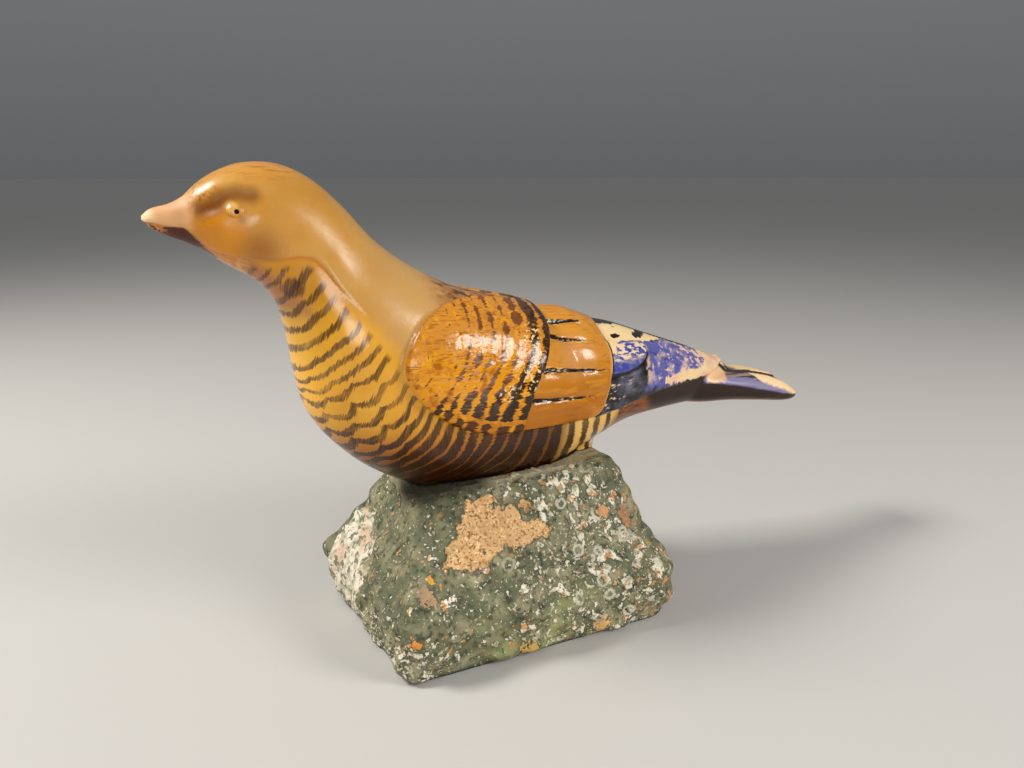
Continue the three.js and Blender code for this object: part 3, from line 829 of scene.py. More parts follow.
def srgb(red, green, blue):
    """A colour as a picture shows it, from 0 to 255, to the shader's own scale."""
    channels = [value / 255 for value in (red, green, blue)]
    return [c / 12.92 if c <= 0.04045 else ((c + 0.055) / 1.055) ** 2.4 for c in channels] + [1]


def plain_material(name, colour, roughness):
    material = bpy.data.materials.new(name)
    material.use_nodes = True
    shader = material.node_tree.nodes["Principled BSDF"]
    shader.inputs["Base Color"].default_value = srgb(*colour)
    shader.inputs["Roughness"].default_value = roughness
    return material


class Field:
    """A number or colour that varies over the surface, worked out by nodes."""

    __array_ufunc__ = None      # so that an array of numbers leaves mixed sums to this class

    def __init__(self, paint, socket):
        self.paint = paint
        self.socket = socket

    def __add__(self, other):
        return self.paint.math("ADD", self, other)

    def __sub__(self, other):
        return self.paint.math("SUBTRACT", self, other)

    def __rsub__(self, other):
        return self.paint.math("SUBTRACT", other, self)

    def __mul__(self, other):
        return self.paint.math("MULTIPLY", self, other)

    def __or__(self, other):
        return self.paint.math("MAXIMUM", self, other)

    def __invert__(self):
        return 1 - self

    __radd__ = __add__
    __rmul__ = __mul__


class Paint:
    """One node material, built by short calls that give fields back.

    An array holds one number for each point of the mesh, and is kept there where a node needs it.
    """

    def __init__(self, name, constants, mesh):
        self.mesh = mesh
        self.kept = []
        self.material = bpy.data.materials.new(name)
        self.material.use_nodes = True
        self.nodes = self.material.node_tree.nodes
        self.links = self.material.node_tree.links
        self.shader = self.nodes["Principled BSDF"]
        for socket, value in constants.items():
            self.shader.inputs[socket].default_value = value
        place = Field(self, self.nodes.new("ShaderNodeTexCoord").outputs["Object"])
        scaled = self.node("ShaderNodeVectorMath", {"operation": "SCALE"}, {0: place, "Scale": 1 / MM})
        parts = self.node("ShaderNodeSeparateXYZ", {}, {0: Field(self, scaled.outputs[0])})
        self.x, self.y, self.z = (Field(self, output) for output in parts.outputs)

    def keep(self, values):
        """Numbers worked out for each point of the mesh, as a field."""
        for name, known in self.kept:
            if known is values:
                return self.attribute(name)
        name = f"mask_{len(self.kept) + 1}"
        store(self.mesh, name, values)
        self.kept.append((name, values))
        return self.attribute(name)

    def feed(self, socket, value):
        if isinstance(value, Field):
            self.links.new(value.socket, socket)
        else:
            socket.default_value = value

    def node(self, kind, settings, feeds):
        """One node. What feeds it is made first: in that order a large material stays in memory."""
        ready = {key: self.keep(v) if isinstance(v, np.ndarray) else v for key, v in feeds.items()}
        node = self.nodes.new(kind)
        for name, value in settings.items():
            setattr(node, name, value)
        for key, value in ready.items():
            self.feed(node.inputs[key], value)
        return node

    def math(self, operation, first, second=0.0, third=0.0):
        feeds = {0: first, 1: second, 2: third}
        return Field(self, self.node("ShaderNodeMath", {"operation": operation}, feeds).outputs[0])

    def size_of(self, value):
        return np.abs(value) if isinstance(value, np.ndarray) else self.math("ABSOLUTE", value)

    def root(self, value):
        return np.sqrt(value) if isinstance(value, np.ndarray) else self.math("SQRT", value)

    def attribute(self, name):
        node = self.node("ShaderNodeAttribute", {"attribute_name": name}, {})
        return Field(self, node.outputs["Fac"])

    def edge(self, value, start, end):
        """0 up to start, 1 from end on, smooth between them; a name stands for what the mesh keeps."""
        if isinstance(value, np.ndarray):
            return ramp(value, start, end)
        if isinstance(value, str):
            value = self.attribute(value)
        settings = {"interpolation_type": "SMOOTHSTEP", "clamp": False}
        feeds = {"Value": value, "From Min": start, "From Max": end}
        return Field(self, self.node("ShaderNodeMapRange", settings, feeds).outputs["Result"])

    def mix(self, below, above, share):
        """One colour over another; each is a field or three numbers from 0 to 255."""
        colours = [srgb(*c) if isinstance(c, tuple) else c for c in (below, above)]
        node = self.node("ShaderNodeMix", {"data_type": "RGBA"}, {0: share, 6: colours[0], 7: colours[1]})
        return Field(self, node.outputs[2])

    def noise(self, x, y, z, detail=2.0, roughness=0.5):
        """Noise about 0, between about -0.5 and 0.5, at three coordinates."""
        place = self.node("ShaderNodeCombineXYZ", {}, {0: x, 1: y, 2: z})
        feeds = {"Vector": Field(self, place.outputs[0]), "Scale": 1}
        feeds.update({"Detail": detail, "Roughness": roughness})
        return Field(self, self.node("ShaderNodeTexNoise", {}, feeds).outputs["Fac"]) - 0.5

    def grain(self, size, detail=2.0, start=0.0):
        """Noise of one size in millimetres, the same in every direction."""
        scale = 1 / size
        return self.noise(self.x * scale + start, self.y * scale, self.z * scale, detail)

    def streaks(self, length, width, start=0.0):
        """Noise drawn out along the bird."""
        scale = 1 / width
        return self.noise(self.x * (1 / length) + start, self.y * scale, self.z * scale, 3.0)

    def distance(self, x, z, place):
        """Millimetres from a side-view place."""
        across = (x - place[0]) * SHARE
        up = (z - place[1]) * SHARE
        return self.root(across * across + up * up)

    def near(self, x, z, place, radius):
        """1 at a side-view place, 0 from a radius in millimetres on."""
        return self.edge(self.distance(x, z, place), radius, 0)

    def blot(self, x, z, place, length, height):
        """A long ragged mark at a side-view place; its half length and half height are millimetres."""
        across = (x - place[0]) * (SHARE / length)
        up = (z - place[1]) * (SHARE / height)
        off = self.root(across * across + up * up) + self.grain(1.2, 3.0, place[0]) * 1.6
        return self.edge(off, 1.1, 0.9)

    def rings(self, size):
        """Distance from the middle of a round cell, in its own size, and a number of its own."""
        place = self.node("ShaderNodeCombineXYZ", {}, {0: self.x, 1: self.y, 2: self.z})
        feeds = {"Vector": Field(self, place.outputs[0]), "Scale": 1 / size}
        cells = self.node("ShaderNodeTexVoronoi", {}, feeds)
        return Field(self, cells.outputs["Distance"]), Field(self, cells.outputs["Color"])

    def finish(self, colour, roughness, relief):
        """Feeds the shader; relief is in millimetres."""
        self.feed(self.shader.inputs["Base Color"], colour)
        self.feed(self.shader.inputs["Roughness"], roughness)
        bump = self.node("ShaderNodeBump", {}, {"Distance": MM, "Height": relief})
        self.links.new(bump.outputs[0], self.shader.inputs["Normal"])
        return self.material


class Coat:
    """Paint laid on in layers."""

    def __init__(self, paint, ground):
        self.paint = paint
        self.colour = ground

    def add(self, colour, share):
        """Lays a colour over the coat, by a share from 0 to 1, and gives the result."""
        self.colour = self.paint.mix(self.colour, colour, share)
        return self.colour


# The bird's paint, zone by zone. Each gives a colour; x and z are side-view places in hundredths.

def painted_rows(p, x, z):
    """The feather rows' dark bands and their colour, and the ragged strokes that they consist of."""
    row = p.attribute("row")
    stroke = p.attribute("stroke")
    cell = p.math("FLOOR", row + 0.5)
    turn = p.attribute("row_across") * (1 / SCALLOP_WIDTH) + p.math("FRACT", cell * 0.5)
    share = p.math("FRACT", turn + p.noise(row * 0.3, 0, stroke * 0.05) * 0.6)
    sag = share * (1 - share) * 4
    front = p.edge(x, -12, -20) * p.edge(z, 22, 15)
    depth = 0.06 + 0.34 * front
    low = p.edge(z, 15, 6)
    ragged = p.noise(stroke * 1.9, row * 0.35, 0, 2.0, 0.6)
    wander = p.noise(stroke * 0.12, row * 0.9, 4.0)
    level = row - cell - (sag - 0.5) * depth + wander * 0.16
    half_width = 0.19 + 0.12 * low + ragged * (0.62 - 0.22 * low)
    thicker = 0.1 * p.edge(z, 16, 11) * p.edge(x, -20, -14) - 0.17 * p.edge(x, 4.0, 9.0)
    half_width = half_width + thicker
    band = p.edge(p.size_of(level) - half_width, 0.05, -0.05)
    hatch = p.edge(p.noise(stroke * 2.6, row * 0.25, 5.0, 1.0), -0.12, 0.02)
    faint = p.edge(p.noise(stroke * 0.13, row * 1.3, 9.0), -0.2, 0.0)
    band = band * (1 - (1 - low) * 0.3 * ~hatch) * (0.6 + 0.4 * (faint | low))
    band = band * p.edge("hood", -1.4, -3.0)
    # Some bands turn lighter and mauve-grey in patches: a painted sheen on the glossy bands.
    dark = p.mix((98, 60, 14), (122, 86, 62), p.edge(p.grain(6.0, 2.0, 5.0), 0.0, 0.16))
    dark = p.mix(dark, (40, 16, 3), p.edge(z, 19, 9))
    return band, dark, ragged, hatch


def breast_colour(p, x, z):
    """Golden breast and belly with painted feather rows, darker towards the seat: partly the stain,
    partly painted shade.
    """
    coat = Coat(p, (216, 148, 34))
    coat.add((240, 174, 30), p.edge(x, -22, -28))
    coat.add((202, 138, 30), p.edge(z, 26, 29))
    coat.add((176, 112, 62), p.edge(z + x, 2.2, 0.4) * p.edge(z, 25, 28))
    # Darker low down, low at the front and on the belly under the wing: partly the stain, partly painted
    # shade.
    coat.add((170, 96, 16), p.edge(z, 14, 7))
    coat.add((60, 22, 0), p.edge(z, 11, 4) * p.edge(x, -25, -17) * 0.95)
    coat.add((104, 62, 8), p.edge(x, -8, 2))
    coat.add((232, 184, 98), p.edge(x, 5, 10))
    blotches = p.grain(7.0) * 0.9 + 0.35
    coat.add((248, 194, 74), blotches * p.edge(z, 10, 14) * p.edge(z, 31, 25) * 0.8)
    band, dark, ragged, hatch = painted_rows(p, x, z)
    coat.add(dark, band * 0.94)
    throat = p.near(x, z, (-28.1, 30.1), 5.4) + ragged * 0.9
    coat.add((70, 32, 10), p.edge(throat, 0.42, 0.74) * (0.5 + 0.35 * hatch))
    # A greenish-grey patch low on the front of the belly.
    low_front_patch = p.edge(z - x * 0.1 + p.grain(3.0) * 2.0, 3.6, 2.6) * p.edge(x, -6, -12)
    return coat.add((150, 148, 112), low_front_patch * 0.6)


def head_colour(p, x, z):
    """Plain waxy tan head, neck and mantle, honey-coloured round the face."""
    coat = Coat(p, (196, 134, 44))
    coat.add((204, 158, 98), p.edge(x, -24, -13))
    coat.add((208, 160, 86), p.edge(p.grain(16.0), -0.2, 0.25) * 0.7)
    crown = p.edge(z - p.size_of(x + 30) * 0.12, 41.6, 43.8)
    coat.add((208, 146, 62), crown * 0.6)
    streaks = p.edge(p.streaks(6.0, 1.2), -0.06, 0.22) * crown
    coat.add((140, 84, 26), streaks * 0.65)
    coat.add((200, 124, 14), p.near(x, z, (-36.8, 37.2), 11) * 0.95)
    coat.add((212, 134, 6), p.near(x, z, (-34.8, 35.4), 9) * 0.9)
    coat.add((146, 88, 14), p.near(x, z, (-31.4, 34.8), 8) * 0.8)
    valley = p.edge("brow", 3.4, 0.2) * (0.75 + 0.25 * p.edge(x, -33.0, -36.0))
    coat.add((116, 62, 0), valley * 0.95)
    dots = p.edge(p.grain(1.1, 3.0), 0.0, 0.1) * p.near(x, z, (-37.6, 40.4), 6.5)
    coat.add((128, 80, 26), dots * 0.8)
    beak = p.edge(x + p.grain(2.0) * 1.5, -37.6, -39.2) * p.edge(z, 36.4, 37.6)
    coat.add((218, 164, 112), beak)
    coat.add((196, 138, 92), beak * p.near(x, z, (-39.6, 38.9), 3.5) * 0.7)
    coat.add((246, 218, 172), p.near(x, z, (-43.2, 38.2), 3.5))
    # Pale patch on the bead's upper front: a painted highlight.
    off_bead_highlight = p.distance(x, z, (EYE["x"] - 0.3, EYE["z"] + 0.3))
    coat.add((228, 176, 100), p.edge(off_bead_highlight, BEAD_RADIUS * 1.1, BEAD_RADIUS * 0.4) * 0.7)
    # Darker amber just behind and below the bead: a painted shadow.
    coat.add((150, 88, 16), p.near(x, z, (-33.1, 38.2), 1.6) * 0.7)
    return coat.add((12, 8, 6), pupil_share(p))


def pupil_share(p):
    """1 in the drilled pupil, 0 off it."""
    shift = PUPIL_SHIFT / SHARE
    x, z = p.x * (1 / SHARE), (p.z - BELLY) * (1 / SHARE)
    off = p.distance(x, z, (EYE["x"] + shift, EYE["z"] - shift))
    return p.edge(off, 0.56 * PUPIL_DIAMETER, 0.44 * PUPIL_DIAMETER)


def chin_colour(p, x, z, below):
    """The dark underside of the beak, and the worn golden chin behind it."""
    under = p.attribute("beak_under") + p.grain(1.6) * 1.2
    coat = Coat(p, below)
    coat.add((204, 124, 14), p.near(x, z, (-35.2, 33.4), 7))
    coat.add((150, 84, 20), p.edge(p.grain(1.0, 3.0), 0.02, 0.1) * 0.6)
    coat.add((72, 24, 2), p.edge(under, -0.15, 0.25))
    granular = p.edge(p.grain(0.8), -0.04, 0.08) * p.near(x, z, (-42.2, 37.2), 4.2)
    coat.add((200, 132, 70), granular)
    pale = p.edge(p.grain(2.0), -0.05, 0.1) * p.near(x, z, (-33.8, 32.7), 4)
    return coat.add((216, 160, 96), pale * 0.9)


def back_colour(p):
    """Mottled brown back between the wings."""
    coat = Coat(p, (172, 116, 60))
    coat.add((92, 56, 24), p.edge(p.streaks(5.0, 2.0, 3.0), -0.05, 0.12))
    return coat.add((206, 154, 92), p.edge(p.grain(4.0), 0.05, 0.2) * 0.7)


def long_feather_colour(p, x, z):
    """Orange-tan feathers with black grooves, worn where they open."""
    coat = Coat(p, (206, 138, 44))
    coat.add((176, 104, 0), p.edge(z, 20, 13))
    coat.add((150, 80, 6), p.edge(p.streaks(9.0, 0.9), 0.0, 0.25) * 0.55)
    coat.add((214, 148, 30), p.edge(p.streaks(14.0, 2.2, 7.0), 0.02, 0.2) * 0.5)
    # Pinkish patch in the middle of the long feathers: a painted sheen.
    coat.add((212, 152, 96), p.near(x, z, (8.5, 18.9), 9) * 0.6)
    wing = p.attribute("wing")
    # Pale rim along the wing's end: partly wear, partly a painted highlight.
    rim = p.edge(wing + p.grain(3.0) * 0.8, 1.1, 0.2) * p.edge(x, 10, 13)
    coat.add((230, 172, 108), rim * 0.8)
    parting = p.attribute("parting") + p.streaks(4.0, 0.8, 2.0) * 0.7
    coat.add((26, 14, 8), p.edge(parting, -0.26, -0.1))
    opening = p.edge(p.streaks(1.6, 0.6, 11.0), 0.04, 0.1) * p.edge(parting, -0.55, -0.3)
    return coat.add((238, 206, 154), opening * p.edge(p.grain(6.0, 2.0, 21.0), 0.0, 0.1))


def covert_bars(p, x, z):
    """The ragged bars across the short feathers and their colour, darkest low down and at the back, with
    a painted glare over their middle.
    """
    bar = p.attribute("bar")
    column = p.math("FLOOR", bar + 0.5)
    ragged = p.noise(p.z * 2.4, bar * 0.8, 3.0, 2.0, 0.6)
    low = p.edge(z + column * 0.2, 18.4, 16.2)
    back = p.edge(bar, 1.8, 0.8)
    strength = low | back
    gap = p.noise(p.z * 0.42, column * 3.7, ragged * 0.8, 1.0)
    level = bar - column + p.noise(p.z * 0.3, bar, 0) * 0.35
    half_width = 0.18 + 0.13 * strength + ragged * 0.85 + gap * (1.25 - 0.5 * strength)
    half_width = half_width - 0.3 * p.edge(bar, 5.6, 7.8) - 0.06 * p.edge(z, 19, 22) * ~back
    wing = p.attribute("wing")
    break_off = p.size_of(wing - 3.4 + p.grain(2.0) * 1.2)
    half_width = half_width - 0.5 * p.edge(break_off, 0.8, 0.3) * p.edge(z, 16, 13)
    band = p.edge(p.size_of(level) - half_width, 0.045, -0.045) * p.edge(bar, -0.9, -0.6)
    dark = p.mix((112, 60, 18), (12, 7, 6), strength)
    dark = p.mix(dark, (78, 34, 6), p.edge(wing, 3.2, 2.8) * p.edge(z, 16, 13) * 0.8)
    # Lilac-grey over the bars round the middle of the coverts: a painted reflection of glare on the black
    # paint.
    bar_glare = p.near(x, z, (-5.0, 20.0), 17) * p.edge(p.grain(2.6), -0.15, 0.1)
    dark = p.mix(dark, (120, 98, 98), bar_glare * (1 - back) * 0.8)
    return band, dark


def covert_colour(p, x, z):
    """Amber feathers under ragged bars, with pale streaks where the wing stands out most."""
    coat = Coat(p, (226, 148, 0))
    coat.add((158, 82, 0), p.edge(p.grain(3.0, 4.0), 0.0, 0.18) * 0.85)
    coat.add((170, 98, 4), p.edge(z, 15, 11) * 0.6)
    coat.add((204, 134, 50), p.edge(z, 20, 24) * 0.7)
    coat.add((240, 168, 26), p.edge(p.grain(2.2, 3.0, 4.0), 0.04, 0.18) * 0.7)
    band, dark = covert_bars(p, x, z)
    coat.add(dark, band * 0.96)
    fine_streaks = p.edge(p.streaks(3.0, 0.5, 13.0), 0.02, 0.14) * p.edge(z, 17, 20)
    coat.add((146, 86, 30), fine_streaks * 0.6)
    # Pale streaks over the middle of the coverts.
    pale_streaks = p.edge(p.streaks(2.4, 0.5, 17.0), 0.0, 0.14) * p.near(x, z, (-9.0, 18.4), 13)
    coat.add((206, 164, 124), pale_streaks * 0.5)
    flecks = p.edge(p.grain(1.1, 3.0, 6.0), 0.04, 0.1)
    worn = np.maximum(p.near(x, z, (0.0, 17.8), 7), p.near(x, z, (-3.4, 16.0), 4))
    worn = np.maximum(worn, p.near(x, z, (1.4, 22.8), 4.5))
    return coat.add((238, 204, 150), flecks * p.edge(worn, 0.15, 0.55))


def quill_colour(p, x, z):
    """Blue and black flight feathers, flaked to cream ground and worn pink at the tip, with painted sheen
    on the blue and a painted shadow under the short covert.
    """
    flaking = p.grain(2.2, 3.0) * 3.2
    coat = Coat(p, (22, 18, 20))
    coat.add((72, 68, 88), p.edge(p.grain(3.4, 3.0), -0.08, 0.2))
    sheen = p.near(x, z, (18.6, 14.4), 6.5) * p.edge(p.streaks(5.0, 1.4, 2.0), -0.15, 0.15)
    coat.add((140, 138, 152), sheen * 0.75)
    scratches = p.edge(p.streaks(3.5, 0.8, 5.0), 0.1, 0.16)
    coat.add((226, 200, 160), scratches * p.edge(x, 20, 16) * p.edge(z, 17.5, 16) * 0.9)
    # The blue field: blue paint, lightened to pale mauve in patches by painted light and sheen.
    blue_and_sheen = p.mix((88, 92, 158), (186, 164, 172), p.edge(p.grain(3.4, 3.0, 9.0), -0.06, 0.18))
    blue_and_sheen = p.mix(blue_and_sheen, (44, 52, 116), p.edge(p.streaks(7.0, 1.6, 1.0), 0.06, 0.2) * 0.7)
    coat.add(blue_and_sheen, p.edge(p.attribute("blue_field") + flaking * 1.2, -0.8, 1.0))
    fraying = p.edge(p.grain(1.6, 3.0, 41.0) + (x - 34) * 0.012, -0.02, 0.06) * p.edge(x, 20.5, 22.5)
    coat.add((226, 188, 164), fraying * p.edge("blue_field", -1.5, 0.5))
    seam = p.edge(p.size_of(x - 22.4 + p.grain(2.4) * 1.6), 0.7, 0.1) * p.edge(z, 12.5, 14)
    coat.add((206, 172, 140), seam * p.edge(p.grain(1.6, 3.0, 51.0), -0.08, 0.04))
    finger = p.attribute("finger")
    # The short covert's blue, lightened to mauve in patches: partly its paint, partly painted sheen.
    blue = p.mix((58, 70, 156), (124, 116, 150), p.edge(p.grain(2.5), -0.05, 0.15))
    # Near-black band just outside the lower part of the short covert: a painted shadow under its edge.
    coat.add((20, 15, 16), p.edge(finger, -1.6, -0.5) * p.edge(z, 18.4, 17.4))
    coat.add(blue, p.edge(finger, -0.25, 0.1))
    scratched = p.edge(p.streaks(3.0, 0.9, 15.0), -0.03, 0.03) * p.edge(finger, 0, 0.8)
    coat.add((236, 208, 170), scratched * p.edge(z, 16.8, 17.6))
    cream = p.edge(p.attribute("cream_patch") + flaking * 0.45, -0.1, 0.15)
    coat.add((238, 208, 154), cream)
    chips = p.blot(x, z, (17.1, 20.4), 2.0, 0.55) | p.blot(x, z, (22.3, 19.9), 3.2, 0.8)
    chips = chips | p.edge(p.streaks(5.0, 1.6, 31.0), 0.15, 0.18)
    coat.add((30, 22, 18), chips * p.edge("cream_patch", 0.0, 0.3))
    worn = p.edge(p.attribute("worn_tip") + flaking * 1.5, -0.1, 0.25)
    pink = p.mix((230, 186, 158), (240, 208, 152), p.edge(p.grain(4.0, 2.0, 2.0), -0.1, 0.1))
    return coat.add(pink, worn * 0.95)


def tail_colour(p, x):
    """Grey-mauve tail top with dark lines, a painted lilac sheen at its near edge and bare cream at its
    tip.
    """
    lines = p.edge(p.streaks(16.0, 1.3, 4.0), -0.06, 0.06)
    coat = Coat(p, (150, 128, 118))
    coat.add((54, 42, 38), lines)
    # Lilac along the tail's near edge: a painted sheen.
    near_edge = p.attribute("near_edge") + p.streaks(9.0, 2.0, 6.0) * 2.5
    coat.add((126, 120, 164), p.edge(near_edge, 2.6, 1.0) * 0.85)
    flaking = p.grain(2.6, 3.0) * 3
    cream = p.edge(p.attribute("tail_wear") + flaking * 0.8, -0.4, 0.7)
    coat.add((248, 212, 164), cream)
    root = p.edge(p.attribute("worn_tip") + flaking * 1.2, -0.6, 0.6)
    coat.add((232, 188, 142), root)
    middle = p.attribute("middle_feather")
    top_cream = p.edge(middle, 0.2, 0.8) * p.edge(x + p.grain(3.0) * 2.0, 41, 44) * p.edge(x, 49, 47)
    coat.add((240, 208, 150), top_cream)
    return coat.add((52, 42, 40), p.edge(middle, -0.9, -0.3) * p.edge(middle, 0.3, 0))


def undertail_colour(p, x, z):
    """Streaked red-brown under the tail, nearly black further back, with a painted reddish reflection
    where it faces down.
    """
    streaks = p.edge(p.streaks(7.0, 1.2, 8.0), -0.05, 0.12)
    coat = Coat(p, (134, 72, 14))
    coat.add((76, 34, 4), streaks)
    coat.add((38, 14, 2), p.edge(x + (z - 8) * 0.8, 23.5, 25.5))
    # Reddish on the faces that look down: a painted reflection of the ground below.
    return coat.add((160, 80, 40), p.edge("top", -0.7, -0.9) * 0.7)


def bird_stone(mesh):
    """Polished stained soapstone: all zones of paint, then its gloss and its slight unevenness."""
    p = Paint("bird_stone", {"Specular IOR Level": 0.42}, mesh)
    points = read_points(mesh)
    x, z = points[:, 0] / SHARE, (points[:, 2] - BELLY) / SHARE
    wing, quill, hood, top = (p.attribute(name) for name in ("wing", "quill", "hood", "top"))
    off_wing = p.edge(wing, 0.1, -0.1)

    coat = Coat(p, breast_colour(p, x, z))
    coat.add(undertail_colour(p, x, z), p.edge(x + (8 - z) * 0.4, 15, 18))
    lip_line = p.edge(hood, -1.2, -0.2) * p.edge(x, -20, -24)
    coat.add((190, 112, 12), lip_line * 0.6)
    softness = 0.3 + 3.0 * p.edge(x, -23, -17)
    plain = p.edge(hood + p.grain(3.0) * (0.3 + softness), 0 - softness, softness)
    coat.add(head_colour(p, x, z), plain)
    chin = p.edge(x, -31.5, -33.0) * p.edge(hood, 0.1, -0.1)
    coat.add(chin_colour(p, x, z, coat.colour), chin)
    back = p.edge(x + p.grain(6.0) * 8, -13, -7) * p.edge(z, 22, 26) * off_wing
    coat.add(back_colour(p), back)
    tail_zone = p.edge(x, 30, 34) * p.edge(top, 0.05, 0.3)
    coat.add(tail_colour(p, x), tail_zone)
    coat.add(quill_colour(p, x, z), p.edge(quill, -0.1, 0.15))
    ridge = p.edge(p.attribute("ridge") + p.grain(2.5) * 1.6, 3.4, 2.6) * p.edge(x, 13, 16)
    coat.add((34, 28, 26), ridge * p.edge(quill, -0.1, 0.15) * p.edge(x, 36, 31))
    on_wing = p.edge(wing, -0.1, 0.1)
    feathers = long_feather_colour(p, x, z)
    feathers = p.mix(feathers, covert_colour(p, x, z), p.edge("covert", -0.15, 0.15))
    # Near-black band just outside the back part of the wing's edge: painted shade under the carved step.
    coat.add((24, 18, 16), p.edge(wing, -0.8, -0.3) * p.edge(x, 8, 11) * off_wing)
    coat.add(feathers, on_wing)

    worn = p.edge(p.grain(8.0, 3.0, 12.0), 0.05, 0.25)
    matt = p.edge(x, -36.8, -38.4) * 0.3 + p.edge(x, 14, 24) * p.edge(z, 14, 10) * 0.2
    matt = matt + p.near(x, z, (EYE["x"], EYE["z"] - 2.6), 5) * 0.3
    roughness = 0.19 + 0.07 * plain + worn * 0.1 + p.grain(1.5) * 0.08 + pupil_share(p) * 0.7 + matt
    uneven = 0.07 + p.edge("covert", 0, 1) * 0.12
    relief = p.grain(0.7, 2.0) * 0.02 + p.grain(4.0) * uneven + p.grain(2.0, 2.0) * (uneven - 0.07)
    return p.finish(coat.colour, roughness, relief)


def lay_green(p, coat, small, broad):
    """Dark green paint with darker spots and a yellow-green tinge low down."""
    coat.add((158, 152, 118), p.edge(broad, -0.12, 0.22))
    coat.add((48, 54, 38), p.edge(small, 0.0, 0.16) * 0.75)
    tinge = p.edge(p.grain(9.0, 3.0, 8.0), -0.04, 0.16) * p.edge(p.z, 20, 8)
    coat.add((176, 182, 116), tinge * p.edge(p.size_of(p.x), 24, 10) * 0.7)


def lay_flecks(p, coat, fine, right):
    """Pale flecks and rusty ones; gives the pale ones back."""
    corner = p.edge(p.z, 16, 5) * p.edge(p.x, -22, -32)
    fleck_level = 0.15 - 0.045 * right - 0.08 * corner
    finest = p.edge(fine - fleck_level, 0.0, 0.03)
    flecks = finest | p.edge(p.grain(1.5, 2.0, 9.0) - fleck_level, 0.0, 0.03)
    shade = p.mix((240, 232, 210), (186, 180, 152), p.edge(p.grain(3.0, 2.0, 33.0), -0.1, 0.15))
    coat.add(shade, flecks * 0.92)
    rust = p.edge(p.grain(2.1, 3.0, 15.0) + p.edge(p.x, 20, 42) * 0.08, 0.15, 0.19)
    coat.add((200, 140, 88), rust)
    return flecks


def lay_crust(p, coat, fine, small):
    """Flakes of pale crust, each with a dark rim."""
    crust_colour = p.mix((236, 228, 206), (164, 164, 134), p.edge(small, -0.02, 0.12))
    crust_colour = p.mix(crust_colour, (208, 152, 100), p.edge(p.grain(2.4, 3.0, 19.0), 0.04, 0.1))
    crust_colour = p.mix(crust_colour, (66, 66, 48), p.edge(fine, 0.08, 0.15) * 0.85)
    crust_field = p.attribute("crust") + fine * 0.35
    coat.add((40, 42, 30), p.edge(crust_field, -0.1, -0.02) * 0.6)
    coat.add(crust_colour, p.edge(crust_field, 0.0, 0.06))


def lay_rings(p, coat, fine, front, right):
    """Pale rings on the right of the front; gives them back."""
    off_middle, own = p.rings(5.5)
    off_middle = off_middle + fine * 0.3
    ring = p.edge(p.size_of(off_middle - 0.27), 0.1, 0.05) * p.edge(own, 0.56, 0.6) * front * right
    coat.add((214, 212, 188), ring * 0.8)
    return ring


def lay_patches(p, coat, fine, small, broad):
    """The pale scaly patch on the left, and the bare sandy one on the front with its dark rim."""
    scaly = p.mix((232, 222, 202), (220, 186, 160), p.edge(broad, -0.05, 0.12))
    scaly = p.mix(scaly, (190, 184, 160), p.edge(p.grain(2.2, 3.0, 37.0), 0.0, 0.08))
    scaly = p.mix(scaly, (120, 128, 100), p.edge(p.grain(1.6, 3.0, 23.0), 0.05, 0.11))
    coat.add(scaly, p.edge(p.attribute("scaly") + small * 5, -0.3, 0.4))
    sand = p.mix((224, 180, 124), (158, 114, 66), p.edge(fine, 0.0, 0.14))
    sand = p.mix(sand, (244, 214, 164), p.edge(p.grain(0.9, 2.0, 27.0), 0.08, 0.16))
    sand = p.mix(sand, (184, 138, 88), p.edge(p.grain(5.0, 2.0, 29.0), -0.05, 0.2) * 0.6)
    bare = p.attribute("bare")
    coat.add((58, 60, 42), p.edge(bare + small * 4, -1.1, -0.5) * 0.6)
    coat.add(sand, p.edge(bare + small * 4 + fine * 2, -0.3, 0.3))


def lay_chips(p, coat, small, front):
    """Single chips of the front, each with a dark rim."""
    for (x, z), reach, shade in CHIPS:
        across, up = p.x - x, p.z - z
        off = p.root(across * across + up * up) + small * reach * 3.5
        coat.add((46, 44, 30), p.edge(off, reach * 1.25, reach) * front * 0.7)
        coat.add(shade, p.edge(off, reach, reach * 0.85) * front)


def lay_seat(p, coat, fine, small):
    """Beige bedding round the bird, a painted shadow under its breast, and a painted shadow along the
    foot.
    """
    to_bird = p.attribute("to_bird")
    bedding = p.edge(to_bird + small * 3, 5.0, 3.6) * p.edge(p.z, 36, 40)
    coat.add((172, 162, 130), bedding * 0.75)
    # Near-black on the rock under the front of the breast: a painted shadow, not a carved hollow.
    hollow = p.edge(to_bird + small * 3, 7.5, 2.5) * p.edge(p.x, -6, -13) * p.edge(p.y, 4, -4)
    coat.add((30, 32, 22), hollow * 0.9)
    coat.add((20, 18, 12), p.edge(to_bird + fine * 0.8, 0.9, 0.2))
    # Dark along the foot: a painted shadow where the rock meets the floor.
    coat.add((26, 28, 22), p.edge(p.z + small * 2, 1.8, 0.4) * 0.85)


def base_stone(mesh):
    """Dark green paint over sandy stone, chipped, flecked and crusted."""
    p = Paint("base_stone", {"Specular IOR Level": 0.3}, mesh)
    front = p.attribute("front")
    fine, small, broad = p.grain(0.8, 3.0), p.grain(1.7, 3.0, 3.0), p.grain(7.0, 3.0, 5.0)
    right = p.edge(p.x, -30, 15) * front
    coat = Coat(p, (98, 102, 74))
    lay_green(p, coat, small, broad)
    flecks = lay_flecks(p, coat, fine, right)
    lay_crust(p, coat, fine, small)
    ring = lay_rings(p, coat, fine, front, right)
    lay_patches(p, coat, fine, small, broad)
    lay_chips(p, coat, small, front)
    lay_seat(p, coat, fine, small)
    roughness = 0.62 + broad * 0.3
    relief = fine * 0.3 + small * 0.5 + flecks * 0.12 + ring * 0.25
    return p.finish(coat.colour, roughness, relief)


# Studio

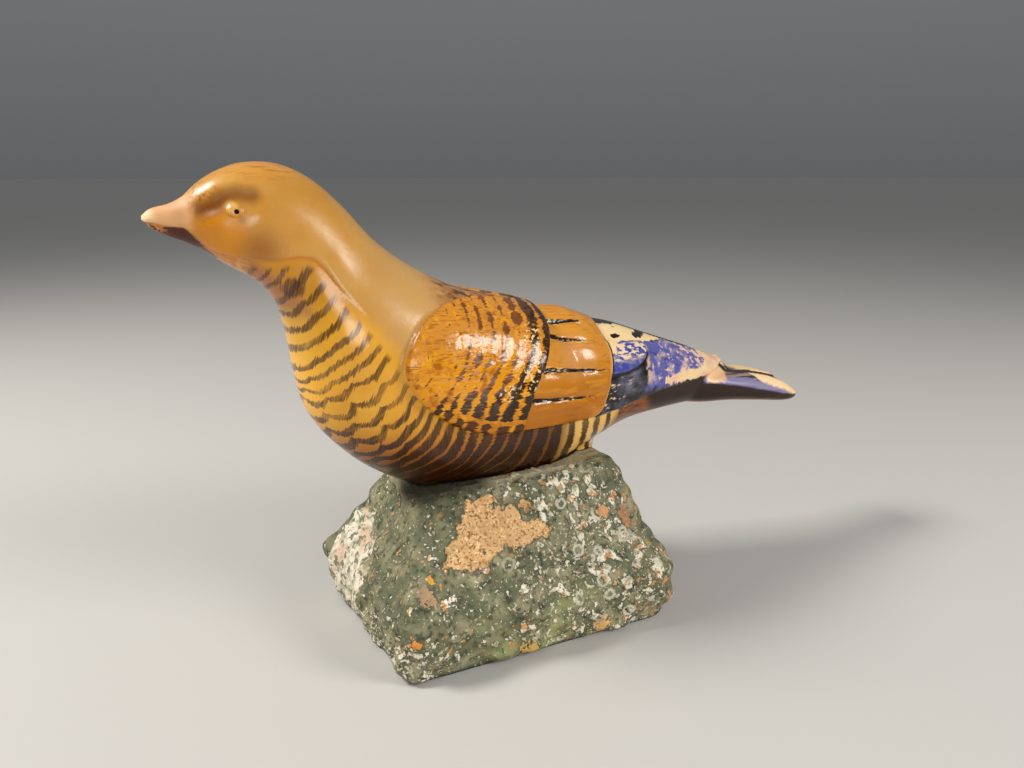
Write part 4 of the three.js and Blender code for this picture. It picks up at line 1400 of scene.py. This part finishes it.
def make_camera():
    data = bpy.data.cameras.new("camera")
    data.lens = CAMERA_LENS
    data.sensor_width = CAMERA_SENSOR
    camera = new_object("camera", data)
    camera.location = Vector(CAMERA_PLACE) * MM
    level = math.cos(CAMERA_DOWN)
    look = Vector((CAMERA_HEADING[0] * level, CAMERA_HEADING[1] * level, -math.sin(CAMERA_DOWN)))
    camera.rotation_euler = look.to_track_quat("-Z", "Y").to_euler()
    data.clip_start = 0.01
    bpy.context.scene.camera = camera


def make_light(name, place, size, watts, colour):
    data = bpy.data.lights.new(name, "AREA")
    data.shape = "RECTANGLE"
    data.size, data.size_y = size[0] * MM, size[1] * MM
    data.energy = watts
    data.color = colour
    light = new_object(name, data)
    light.location = Vector(place) * MM
    aim = Vector(LIGHT_AIM) * MM - light.location
    light.rotation_euler = aim.to_track_quat("-Z", "Y").to_euler()


def make_floor():
    half = FLOOR_LENGTH / 2
    corners = [(-half, -half, 0), (half, -half, 0), (half, half, 0), (-half, half, 0)]
    mesh = bpy.data.meshes.new("floor")
    mesh.from_pydata(corners, [], [(0, 1, 2, 3)])
    floor = new_object("floor", mesh)
    mesh.materials.append(plain_material("floor", FLOOR_COLOUR, FLOOR_ROUGHNESS))


def make_world():
    world = bpy.data.worlds.new("studio")
    world.use_nodes = True
    nodes, links = world.node_tree.nodes, world.node_tree.links
    parts = nodes.new("ShaderNodeSeparateXYZ")
    links.new(nodes.new("ShaderNodeTexCoord").outputs["Generated"], parts.inputs[0])
    rise = nodes.new("ShaderNodeMapRange")
    links.new(parts.outputs["Z"], rise.inputs["Value"])
    for name, value in (("From Max", SKY_HEIGHT), ("To Min", HORIZON_LIGHT), ("To Max", SKY_LIGHT)):
        rise.inputs[name].default_value = value
    nodes["Background"].inputs["Color"].default_value = SKY_COLOUR
    links.new(rise.outputs[0], nodes["Background"].inputs["Strength"])
    bpy.context.scene.world = world


bird = make_bird()
bird.data.materials.append(bird_stone(bird.data))
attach(bird, "root")
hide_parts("bird")

rock = make_rock()
rock.data.materials.append(base_stone(rock.data))
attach(rock, "root")
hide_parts("rock_base")

make_floor()
make_world()
for light in LIGHTS:
    make_light(*light)
make_camera()
bpy.context.scene.view_settings.view_transform = "Standard"
